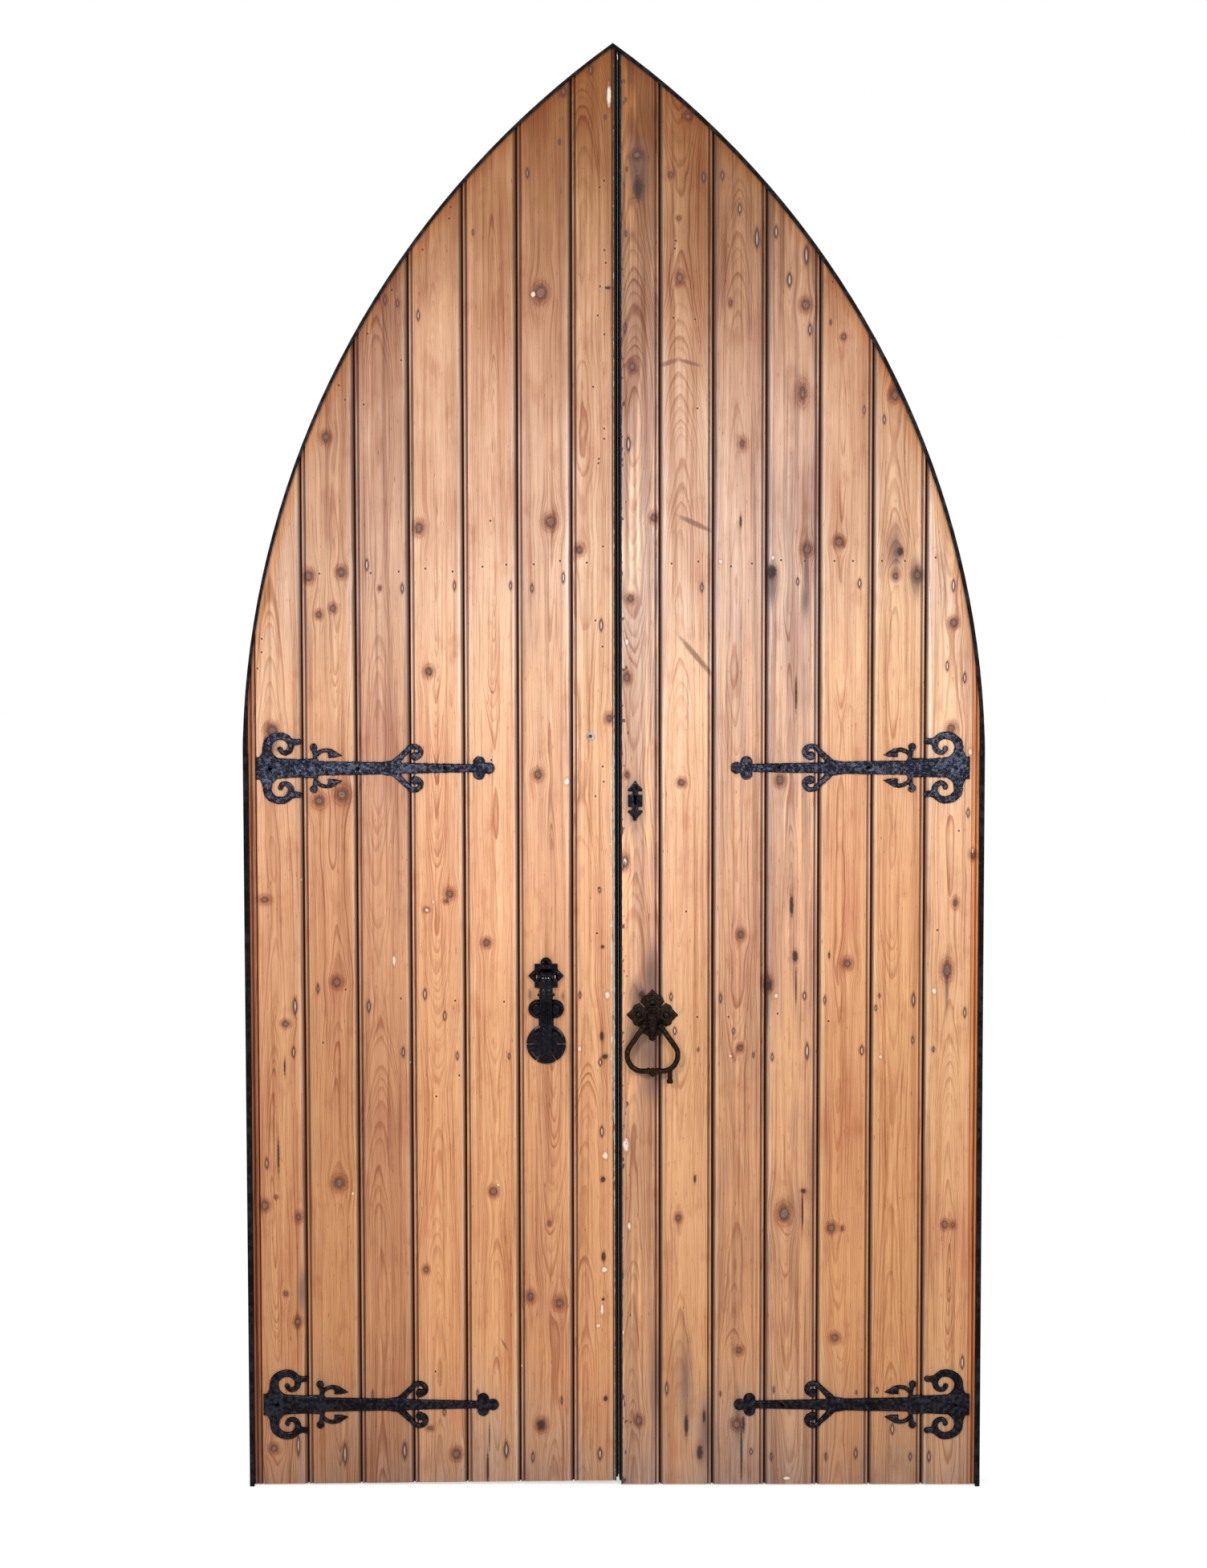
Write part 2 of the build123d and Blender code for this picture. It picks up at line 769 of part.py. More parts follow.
with BuildPart() as knocker_arm:
    arm_back = knocker_face_y - arm_back_gap
    arm_front = arm_back - arm_thickness
    arm_plane = Plane.YZ.offset(knocker_x - arm_width / 2)
    foot_top = knocker_height - arm_foot_drop
    foot_z = foot_top - arm_foot_height
    strike_y = knocker_face_y - stud_height - strike_gap
    shoulder_z = knocker_height - arm_shoulder_drop
    side_outline = [
        (knocker_pin_y - knuckle_radius, knocker_height),
        (knocker_pin_y - knuckle_radius, shoulder_z),
        (arm_front, knocker_height - arm_neck_drop),
        (arm_front, foot_top),
        (arm_front - arm_ring_stand, foot_z),
        (strike_y, foot_z),
        (strike_y, foot_top - arm_heel_height),
        (arm_back, foot_top),
        (arm_back, knocker_height - arm_neck_drop),
        (knocker_pin_y + knuckle_radius - knuckle_gap, shoulder_z),
        (knocker_pin_y + knuckle_radius - knuckle_gap, knocker_height),
    ]
    bar(arm_plane, (knocker_pin_y, knocker_height), knuckle_radius, arm_width)
    plate(arm_plane, side_outline, arm_width)
    for ring_drop, ring_height in arm_rings:
        ring_foot = Plane.XY.offset(knocker_height - ring_drop)
        ring_size = (arm_width + 2 * arm_ring_stand, arm_thickness + 2 * arm_ring_stand)
        block(ring_foot, (knocker_x, (arm_front + arm_back) / 2), *ring_size, ring_height)
    for step in range(flute_count):
        flute_x = knocker_x + (step - (flute_count - 1) / 2) * flute_pitch
        flute_top = Plane.XY.offset(knocker_height - flute_top_drop)
        bar(flute_top, (flute_x, arm_front), flute_radius, -flute_length, Mode.SUBTRACT)
    knuckle_bore = knocker_pin_radius + running_clearance
    bar(arm_plane, (knocker_pin_y, knocker_height), knuckle_bore, arm_width, Mode.SUBTRACT)
finish(knocker_arm, "knocker_arm")

with BuildPart() as knocker_pin:
    pin_half = arm_width / 2 + face_clearance + ear_thickness + knocker_pin_stand
    pin_end = Plane.YZ.offset(knocker_x - pin_half)
    bar(pin_end, (knocker_pin_y, knocker_height), knocker_pin_radius, 2 * pin_half)
finish(knocker_pin, "knocker_pin")

# Ring handle on the right leaf.
with BuildPart() as ring_rose:
    with BuildSketch(on_front(face_y)):
        rose_centre = (handle_x, handle_height)
        with Locations(rose_centre):
            Rectangle(rose_reach * sqrt(2), rose_reach * sqrt(2), rotation=45)
        for middle in rose_sides:
            for spread in (-rose_lobe_spread, rose_lobe_spread):
                with Locations(polar(rose_centre, rose_lobe_centre, middle + spread)):
                    Circle(rose_lobe_radius)
            with Locations(Location(polar(rose_centre, rose_reach / sqrt(2), middle), middle)):
                SlotOverall(*rose_notch, mode=Mode.SUBTRACT)
        with Locations(rose_centre):
            Circle(spindle_radius + running_clearance, mode=Mode.SUBTRACT)
    extrude(amount=rose_thickness)
finish(ring_rose, "ring_rose")

with BuildPart() as ring_spindle:
    flange_y = face_y - rose_thickness - face_clearance
    finger_y = back_y + finger_gap + finger_thickness
    hub_centre = (handle_x, handle_height)
    barrel_foot = handle_height - hub_drop
    ball_z = handle_height - hub_ball_drop
    bar(on_front(flange_y), hub_centre, hub_flange_radius, hub_flange_thickness)
    bar(on_front(finger_y), hub_centre, spindle_radius, finger_y - ring_y)
    bar(Plane.XY.offset(barrel_foot), (handle_x, ring_y), hub_radius, hub_drop + hub_rise)
    for hub_ring in hub_rings:
        ring_plane = Plane.XY.offset(handle_height + hub_ring)
        bar(ring_plane, (handle_x, ring_y), hub_radius + hub_ring_stand, hub_ring_height)
    bar(Plane.XY.offset(ball_z), (handle_x, ring_y), hub_neck_radius, barrel_foot - ball_z)
    ball((handle_x, ring_y, ball_z), hub_ball_radius)
    for eye_side in (-1, 1):
        hole_plane = Plane.YZ.offset(handle_x + eye_side * hub_radius)
        hole_radius = ring_pin_radius + running_clearance
        hole_depth = -eye_side * (ring_pin_depth + face_clearance)
        bar(hole_plane, (ring_y, ring_pivot_z), hole_radius, hole_depth, Mode.SUBTRACT)
    with BuildSketch(on_front(finger_y)) as finger:
        tapered_link(hub_centre, finger_root, (handle_x - finger_length, handle_height), finger_tip)
        with Locations(hub_centre):
            Circle(finger_root)
    extrude(finger.sketch, amount=finger_thickness)
finish(ring_spindle, "ring_spindle")

with BuildPart() as ring_handle:
    ring_foot_z = ring_pivot_z - ring_foot_drop
    with BuildLine(on_front(ring_y)) as loop:
        FilletPolyline(
            (handle_x - ring_eye_x, ring_pivot_z),
            (handle_x - ring_belly_reach, ring_pivot_z - ring_belly_drop),
            (handle_x - ring_foot_reach, ring_foot_z),
            (handle_x + ring_foot_reach, ring_foot_z),
            (handle_x + ring_belly_reach, ring_pivot_z - ring_belly_drop),
            (handle_x + ring_eye_x, ring_pivot_z),
            radius=ring_bend,
        )
    with BuildSketch(Plane(origin=loop.line @ 0, z_dir=loop.line % 0)):
        Circle(ring_rod_radius)
    sweep(path=loop.line)
    for eye_side in (-1, 1):
        eye_x = handle_x + eye_side * ring_eye_x
        pin_length = -eye_side * (ring_eye_x - hub_radius + ring_pin_depth)
        ball((eye_x, ring_y, ring_pivot_z), ring_eye_radius)
        bar(Plane.YZ.offset(eye_x), (ring_y, ring_pivot_z), ring_pin_radius, pin_length)
    for step in (-1, 0, 1):
        collar = Plane.YZ.offset(handle_x + step * ring_collar_spread - ring_collar_width / 2)
        bar(collar, (ring_y, ring_foot_z), ring_rod_radius + ring_collar_stand, ring_collar_width)
    ball((handle_x, ring_y, ring_foot_z - ring_rod_radius - ring_collar_stand), ring_knob_radius)
    stub_centre = (handle_x + ring_stub_x, ring_y)
    stub_foot = Plane.XY.offset(ring_foot_z - ring_stub_length)
    bar(stub_foot, stub_centre, ring_stub_radius, ring_stub_length)
    bar(stub_foot, stub_centre, ring_stub_end_radius, ring_stub_end_length)
finish(ring_handle, "ring_handle")

# Keyhole plate, lock, bolt and keeper.
with BuildPart() as key_plate:
    with BuildSketch(on_front(face_y)):
        with Locations((keyhole_x, key_plate_height)):
            Rectangle(2 * key_plate_half, 2 * key_plate_body_half)
            Rectangle(2 * key_plate_neck_half, 2 * key_leaf_shoulder)
        for end in (-1, 1):
            half_leaf = [(key_plate_half, key_leaf_foot), (key_plate_half, key_leaf_shoulder), key_leaf_waist]
            leaf = half_leaf + [(0, key_leaf_tip)] + [(-x, z) for x, z in reversed(half_leaf)]
            facet([(keyhole_x + x, key_plate_height + end * z) for x, z in leaf])
    extrude(amount=key_plate_thickness)
    keyhole_cut(0, face_y - key_plate_thickness, face_y)
finish(key_plate, "key_plate")

with BuildPart() as lock_case:
    lock_left = meeting_x + board_meeting_gap / 2 + lock_edge_gap
    lock_low = key_plate_height - lock_drop
    lock_high = key_plate_height + lock_rise
    inside = (lock_left + lock_wall, lock_left + lock_width - lock_wall)
    bolt_back = back_y + bolt_layer + bolt_thickness
    slot = corners(
        lock_left,
        inside[0],
        bolt_z - bolt_height / 2 - bolt_slot_gap,
        bolt_z + bolt_height / 2 + bolt_slot_gap,
    )
    case_outline = corners(lock_left, lock_left + lock_width, lock_low, lock_high)
    hollow = corners(*inside, lock_low + lock_wall, lock_high - lock_wall)
    plate(on_front(back_y + lock_depth), case_outline, lock_depth)
    plate(on_front(back_y + lock_depth - lock_wall), hollow, lock_depth - lock_wall, Mode.SUBTRACT)
    slot_depth = bolt_thickness + 2 * bolt_slot_gap
    plate(on_front(bolt_back + bolt_slot_gap), slot, slot_depth, Mode.SUBTRACT)
finish(lock_case, "lock_case")

with BuildPart() as lock_bolt:
    bolt_outline = corners(
        lock_left, lock_left + bolt_length, bolt_z - bolt_height / 2, bolt_z + bolt_height / 2
    )
    plate(on_front(bolt_back), bolt_outline, bolt_thickness)
finish(lock_bolt, "lock_bolt")

with BuildPart() as lock_keeper:
    keeper_right = meeting_x - board_meeting_gap / 2 - keeper_edge_gap
    pocket_half = bolt_height / 2 + keeper_clearance
    pocket_front = back_y + bolt_layer - keeper_clearance
    pocket_depth = bolt_thickness + 2 * keeper_clearance
    keeper_half = pocket_half + keeper_wall
    keeper_depth = pocket_front - back_y + pocket_depth + keeper_wall
    keeper = corners(keeper_right - keeper_width, keeper_right, bolt_z - keeper_half, bolt_z + keeper_half)
    pocket_left = keeper_right - keeper_width + keeper_wall
    pocket = corners(pocket_left, keeper_right, bolt_z - pocket_half, bolt_z + pocket_half)
    plate(on_front(back_y + keeper_depth), keeper, keeper_depth)
    plate(on_front(pocket_front + pocket_depth), pocket, pocket_depth, Mode.SUBTRACT)
finish(lock_keeper, "lock_keeper")

# Door viewer.
with BuildPart() as door_viewer:
    viewer_centre = (viewer_x, viewer_height)
    tube_front = face_y - viewer_flange
    tube_back = back_y + viewer_flange
    bar(on_front(tube_back), viewer_centre, viewer_radius, tube_back - tube_front)
    bar(on_front(face_y), viewer_centre, viewer_flange_radius, viewer_flange)
    bar(on_front(tube_back), viewer_centre, viewer_flange_radius, viewer_flange)
    bar(on_front(tube_back), viewer_centre, viewer_bore, viewer_flange, Mode.SUBTRACT)
    bar(on_front(face_y), viewer_centre, viewer_bore, viewer_flange, Mode.SUBTRACT)
finish(door_viewer, "door_viewer")

# Bar that drops across both leaves, its pivot plate and its hook.
bar_front_y = back_y + bar_layer
bar_back_y = bar_front_y + bar_thickness
bar_centre = (bar_pivot_x, bar_pivot_z)

with BuildPart() as latch_plate:
    block(
        on_front(back_y + bar_plate_thickness), bar_centre, bar_plate_width, bar_plate_height, bar_plate_thickness
    )
    boss_depth = bar_layer - face_clearance
    head_y = bar_back_y + face_clearance + bar_head_height
    bar(on_front(back_y + boss_depth), bar_centre, bar_head_radius, boss_depth)
    bar(on_front(head_y), bar_centre, bar_pin_radius, head_y - back_y)
    bar(on_front(head_y), bar_centre, bar_head_radius, bar_head_height)
finish(latch_plate, "latch_plate")

with BuildPart() as latch_bar:
    bar_length = bar_pivot_x - hook_x + hook_width / 2 + bar_overrun
    tip = polar(bar_centre, bar_length - bar_height / 2, 90 - bar_lean)
    with BuildSketch(on_front(bar_back_y)):
        tapered_link(bar_centre, bar_height / 2, tip, bar_height / 2)
        with Locations(bar_centre):
            Circle(bar_height / 2)
            Circle(bar_pin_radius + running_clearance, mode=Mode.SUBTRACT)
    extrude(amount=bar_thickness)
finish(latch_bar, "latch_bar")

with BuildPart() as latch_keeper:
    floor_top = bar_pivot_z - bar_height / 2 - hook_floor_gap
    lip_front = back_y + hook_plate_thickness + hook_slot
    hook_profile = [
        (back_y, floor_top - hook_tail),
        (back_y, floor_top + hook_lip_height + hook_wall),
        (back_y + hook_plate_thickness, floor_top + hook_lip_height + hook_wall),
        (back_y + hook_plate_thickness, floor_top),
        (lip_front, floor_top),
        (lip_front, floor_top + hook_lip_height),
        (lip_front + hook_wall, floor_top + hook_lip_height),
        (lip_front + hook_wall, floor_top - hook_wall),
        (back_y + hook_plate_thickness, floor_top - hook_wall),
        (back_y + hook_plate_thickness, floor_top - hook_tail),
    ]
    plate(Plane.YZ.offset(hook_x - hook_width / 2), hook_profile, hook_width)
finish(latch_keeper, "latch_keeper")

# Foot bolt and its guide.
foot_bolt_y = back_y + guide_plate_thickness + guide_wall + foot_bolt_radius

with BuildPart() as foot_bolt:
    bolt_centre = (foot_bolt_x, foot_bolt_y)
    bolt_top = foot_bolt_lift + foot_bolt_length
    bar(Plane.XY.offset(foot_bolt_lift), bolt_centre, foot_bolt_radius, foot_bolt_length)
    ball((foot_bolt_x, foot_bolt_y, bolt_top), foot_knob_radius)
    clearance_cut = back_y + guide_plate_thickness + face_clearance
    cut_reach = 2 * foot_knob_radius
    cut_foot = Plane.XY.offset(bolt_top - foot_knob_radius)
    block(cut_foot, (foot_bolt_x, clearance_cut - foot_knob_radius), cut_reach, cut_reach, cut_reach, Mode.SUBTRACT)
finish(foot_bolt, "foot_bolt")

with BuildPart() as foot_bolt_guide:
    guide_low = guide_heights[0] - guide_plate_margin
    guide_high = guide_heights[1] + guide_height + guide_plate_margin
    strap_reach = foot_bolt_radius + running_clearance + guide_wall
    strap_depth = foot_bolt_y - back_y
    guide_outline = corners(
        foot_bolt_x - guide_plate_width / 2, foot_bolt_x + guide_plate_width / 2, guide_low, guide_high
    )
    plate(on_front(back_y + guide_plate_thickness), guide_outline, guide_plate_thickness)
    for guide_z in guide_heights:
        strap_plane = Plane.XY.offset(guide_z)
        strap_root = (foot_bolt_x, back_y + strap_depth / 2)
        bar(strap_plane, (foot_bolt_x, foot_bolt_y), strap_reach, guide_height)
        block(strap_plane, strap_root, 2 * strap_reach, strap_depth, guide_height)
        bore = foot_bolt_radius + running_clearance
        bar(strap_plane, (foot_bolt_x, foot_bolt_y), bore, guide_height, Mode.SUBTRACT)
finish(foot_bolt_guide, "foot_bolt_guide")
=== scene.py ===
import math

import bmesh
import bpy
import numpy as np
from mathutils import Matrix, Vector, noise
from mathutils.kdtree import KDTree


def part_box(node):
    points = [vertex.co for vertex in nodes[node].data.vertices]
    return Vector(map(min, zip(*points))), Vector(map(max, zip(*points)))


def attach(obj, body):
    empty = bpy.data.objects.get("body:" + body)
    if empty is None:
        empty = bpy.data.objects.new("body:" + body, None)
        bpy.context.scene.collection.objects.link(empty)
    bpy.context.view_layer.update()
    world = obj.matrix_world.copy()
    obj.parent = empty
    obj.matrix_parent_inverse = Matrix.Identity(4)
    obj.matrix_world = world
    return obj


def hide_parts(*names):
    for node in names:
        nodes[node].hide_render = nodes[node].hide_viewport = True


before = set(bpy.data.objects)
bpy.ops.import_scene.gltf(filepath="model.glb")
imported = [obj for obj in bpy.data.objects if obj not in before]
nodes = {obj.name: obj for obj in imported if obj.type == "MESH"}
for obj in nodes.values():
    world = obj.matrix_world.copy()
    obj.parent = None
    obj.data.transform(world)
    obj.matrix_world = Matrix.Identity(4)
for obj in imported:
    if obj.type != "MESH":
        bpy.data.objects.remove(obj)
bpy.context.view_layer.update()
scene = bpy.context.scene

MM = 0.001
SIDES = (("left", -1), ("right", 1))
LEVELS = ("lower", "upper")
LEDGES = ("bottom", "lock", "hinge", "top")
BOARDS = 7
# In metres: front of the boards, back of the framing, width of a tongue, x of the joint between the leaves,
# the height that the ageing and painted shade span, and the circle of each half of the arch.
FACE = -0.030
BACK = 0.030
TONGUE = 0.008
MEETING = 0.0094
TOP = 3.06
ARCH_CENTRE = (1.0679, 1.5396)
ARCH_RADIUS = 1.8446


def board_names(side):
    """Names of a leaf's boards, from the meeting line outwards."""
    return [f"{side}_board_{number + 1}" for number in range(BOARDS)]


# Shader nodes written as arithmetic.
def operator(name, swapped=False):
    def apply(self, other):
        return self.net.math(name, *((other, self) if swapped else (self, other)))

    return apply


class Wire:
    """One output of a shader node."""

    def __init__(self, net, socket):
        self.net = net
        self.socket = socket

    __add__, __radd__ = operator("ADD"), operator("ADD", True)
    __sub__, __rsub__ = operator("SUBTRACT"), operator("SUBTRACT", True)
    __mul__, __truediv__ = operator("MULTIPLY"), operator("DIVIDE")


class Net:
    """A material under construction. Places are in the part's own frame, in metres."""

    def __init__(self, name):
        self.material = bpy.data.materials.new(name)
        self.material.use_nodes = True
        self.tree = self.material.node_tree
        self.tree.nodes.clear()
        output = self.tree.nodes.new("ShaderNodeOutputMaterial")
        self.shader = self.tree.nodes.new("ShaderNodeBsdfPrincipled")
        self.tree.links.new(self.shader.outputs[0], output.inputs[0])
        coords = self.tree.nodes.new("ShaderNodeTexCoord")
        self.place = Wire(self, coords.outputs["Object"])
        split = self.node("ShaderNodeSeparateXYZ", self.place)
        self.x, self.y, self.z = (Wire(self, split.outputs[i]) for i in range(3))

    def put(self, socket, value):
        if isinstance(value, Wire):
            self.tree.links.new(value.socket, socket)
        elif isinstance(value, tuple) and len(value) == 3 and socket.type == "RGBA":
            socket.default_value = (*value, 1)
        else:
            socket.default_value = value

    def node(self, kind, *values, named=(), **settings):
        """A node with its first inputs in order, or some of its inputs by name."""
        made = self.tree.nodes.new(kind)
        for key, value in settings.items():
            setattr(made, key, value)
        for socket, value in zip(made.inputs, values):
            self.put(socket, value)
        for key, value in named:
            self.put(made.inputs[key], value)
        return made

    def math(self, operation, *values):
        return Wire(self, self.node("ShaderNodeMath", *values, operation=operation).outputs[0])

    def vector(self, operation, *values):
        made = self.node("ShaderNodeVectorMath", *values, operation=operation)
        return Wire(self, made.outputs["Value" if operation in ("LENGTH", "DOT_PRODUCT") else "Vector"])

    def join(self, x, y, z):
        return Wire(self, self.node("ShaderNodeCombineXYZ", x, y, z).outputs[0])

    def span(self, value, low, high, start=0, end=1):
        """Smooth step from start to end while value goes from low to high."""
        made = self.node("ShaderNodeMapRange", value, low, high, start, end, interpolation_type="SMOOTHSTEP")
        return Wire(self, made.outputs[0])

    def fade(self, value, low, high, start=1):
        """Smooth step from start down to nothing."""
        return self.span(value, low, high, start, 0)

    def noise(self, place, scale, detail=2, roughness=0.5):
        """Noise in space, from 0 to 1."""
        named = (("Vector", place), ("Scale", scale), ("Detail", detail), ("Roughness", roughness))
        return Wire(self, self.node("ShaderNodeTexNoise", named=named, normalize=True).outputs[0])

    def line_noise(self, along, scale, seed, detail=1):
        """Noise along a line, from 0 to 1."""
        named = (("W", along + seed), ("Scale", scale), ("Detail", detail))
        made = self.node("ShaderNodeTexNoise", named=named, noise_dimensions="1D", normalize=True)
        return Wire(self, made.outputs[0])

    def chance(self, value):
        """A random number for each whole value."""
        made = self.node("ShaderNodeTexWhiteNoise", named=(("W", value),), noise_dimensions="1D")
        return Wire(self, made.outputs["Value"])

    def mix(self, share, a, b, blend="MIX"):
        named = ((0, share), (6, a), (7, b))
        made = self.node("ShaderNodeMix", named=named, data_type="RGBA", blend_type=blend)
        return Wire(self, made.outputs[2])

    def tint(self, share, colour, shade):
        """Stains a colour: each channel is multiplied by the shade, as far as the share says."""
        return self.mix(share, colour, shade, "MULTIPLY")

    def ramp(self, value, stops):
        made = self.node("ShaderNodeValToRGB", value)
        points = made.color_ramp.elements
        for i, (place, colour) in enumerate(stops):
            point = points[i] if i < 2 else points.new(place)
            point.position = place
            point.color = (*colour, 1)
        return Wire(self, made.outputs[0])

    def bump(self, height, distance, strength=1):
        named = (("Height", height), ("Distance", distance), ("Strength", strength))
        return Wire(self, self.node("ShaderNodeBump", named=named).outputs[0])

    def finish(self, **sockets):
        for name, value in sockets.items():
            self.put(self.shader.inputs[name.replace("_", " ")], value)
        return self.material


# Marks on the boards in millimetres: x and z of the middle, half width, half height and strength.
MARKS = {}
MARKS["knot"] = (
    (-745, 609, 7.3, 8.3, 1), (-739, 1265, 10.6, 7.6, 0.5), (-731, 81, 8.3, 8.3, 0.6), (-721, 627, 4, 4, 0.6),
    (-720, 1624, 10, 10, 0.9), (-702, 418, 4.3, 4.3, 0.8), (-697, 1000, 7.3, 6, 0.85),
    (-677, 357, 7, 8.3, 0.6), (-673, 584, 6.6, 10, 0.4), (-641, 1949, 9, 10, 0.9), (-622, 1475, 12, 12, 0.6),
    (-620, 1868, 6, 7, 0.9), (-602, 2239, 8, 9, 0.8), (-590, 1881, 6, 7.3, 0.9), (-588, 1089, 8.3, 9.3, 0.8),
    (-586, 658, 11, 12.3, 0.75), (-574, 1488, 13, 14, 0.7), (-572, 1957, 8, 9, 1), (-491, 1923, 3.7, 5, 0.6),
    (-408, 2049, 8, 11, 0.9), (-402, 470, 5.3, 6.6, 0.9), (-396, 1243, 5, 5, 0.7), (-395, 125, 6.6, 5, 0.5),
    (-389, 1748, 8, 9, 0.8), (-355, 1262, 5.6, 5, 0.5), (-347, 1277, 8, 9.3, 0.7), (-339, 69, 8.3, 9.3, 1),
    (-270, 1173, 7.3, 7.3, 1), (-257, 639, 7.6, 8, 1), (-179, 411, 8.3, 10.6, 0.6), (-160, 1530, 8, 9, 0.9),
    (-156, 132, 9, 11, 0.8), (-151, 2538, 10.6, 13.9, 1), (-138, 569, 3.7, 5, 0.8), (-132, 2062, 10, 12, 1),
    (-117, 397, 10, 12.3, 0.55), (-103, 2953, 5.3, 7.3, 0.8), (-71, 2003, 7.6, 9, 0.75),
    (-9, 1649, 7, 8.3, 0.75), (24, 1345, 6.6, 11.6, 0.6), (28, 1529, 5, 6.6, 0.6), (28, 1735, 7, 9, 0.9),
    (36, 1901, 7, 8, 0.9), (40, 2385, 7, 8.6, 0.85), (50, 2822, 8.3, 7.3, 0.8), (52, 142, 6.6, 8.3, 1),
    (85, 2070, 7, 9, 0.8), (121, 2781, 4, 5, 0.8), (137, 582, 5.6, 7.3, 0.8), (137, 2692, 3.7, 4, 0.8),
    (139, 2569, 7.3, 10, 0.75), (143, 1513, 7, 7, 1), (156, 2901, 6, 5.6, 1), (245, 2517, 3.7, 6.6, 0.6),
    (262, 134, 8, 9, 0.8), (267, 295, 7.3, 8, 0.55), (269, 1190, 7, 8.3, 0.75), (269, 947, 6, 6.6, 0.6),
    (270, 2224, 6.6, 11.6, 0.4), (325, 1086, 7, 12, 1), (351, 1518, 8, 10, 0.9), (362, 591, 11.6, 15.9, 0.85),
    (396, 2329, 10, 21.6, 0.4), (402, 2512, 8.3, 10, 0.9), (407, 2004, 8, 9, 1), (463, 560, 7.3, 8, 1),
    (471, 322, 8, 8.6, 0.75), (473, 2019, 8, 9, 1), (481, 2446, 4.6, 5, 1), (486, 559, 4, 5, 0.6),
    (494, 1128, 9, 10, 0.7), (589, 2325, 9, 10, 0.9), (592, 1947, 6, 7, 0.8), (638, 1950, 8.3, 10, 0.7),
    (705, 567, 6, 7.3, 1), (706, 1114, 8.3, 14.9, 1), (711, 1626, 8, 9, 0.9), (715, 1849, 7, 8, 1),
    (721, 566, 5.6, 7.3, 0.4), (722, 1257, 6, 10, 0.4), (759, 1359, 5.6, 8.3, 0.9),
)
MARKS["void"] = (
    (332, 1956, 10, 14, 1),
)
MARKS["blot"] = (
    (-715, 717, 3, 49.8, 0.5), (-700, 907, 2.7, 23.2, 0.5), (-272, 35, 2.7, 34.9, 1),
    (-268, 107, 1.3, 33.2, 0.8), (-158, 132, 7.3, 10, 0.9), (-26, 973, 4.3, 10, 1), (-24, 665, 5, 6, 1),
    (-24, 406, 3, 3.3, 1), (-24, 1164, 4, 4, 0.8), (-23, 498, 4.6, 10, 1), (-19, 929, 6.6, 5.6, 0.9),
    (-19, 190, 4.3, 5.6, 1), (-10, 2548, 6.6, 4, 0.6), (44, 1435, 5, 4, 0.8), (52, 2753, 16.6, 39.8, 0.35),
    (60, 1061, 10, 13.3, 0.4), (154, 132, 4.3, 23.2, 0.9), (172, 666, 3.3, 10, 0.6),
    (183, 72, 8.3, 19.9, 0.6), (192, 151, 3.7, 14.9, 0.7), (267, 2062, 3.3, 16.6, 0.6),
    (272, 72, 2.3, 66.4, 0.8), (276, 134, 4, 23.2, 0.6), (328, 1081, 7.6, 11.6, 0.8),
    (376, 1252, 5, 26.6, 0.7), (384, 1143, 5.6, 11.6, 1), (384, 1699, 2.7, 43.2, 0.6),
    (386, 1078, 1.7, 44.8, 0.8), (401, 598, 2.2, 43.2, 0.8), (403, 640, 5.6, 5, 1), (456, 1146, 2.7, 10, 0.6),
    (602, 1999, 10, 13.3, 0.5), (776, 541, 3, 5, 0.7), (777, 153, 3, 4.3, 0.9), (779, 376, 3.3, 6.6, 0.8),
    (780, 65, 3, 4.3, 0.9), (780, 308, 3, 5, 0.7),
)
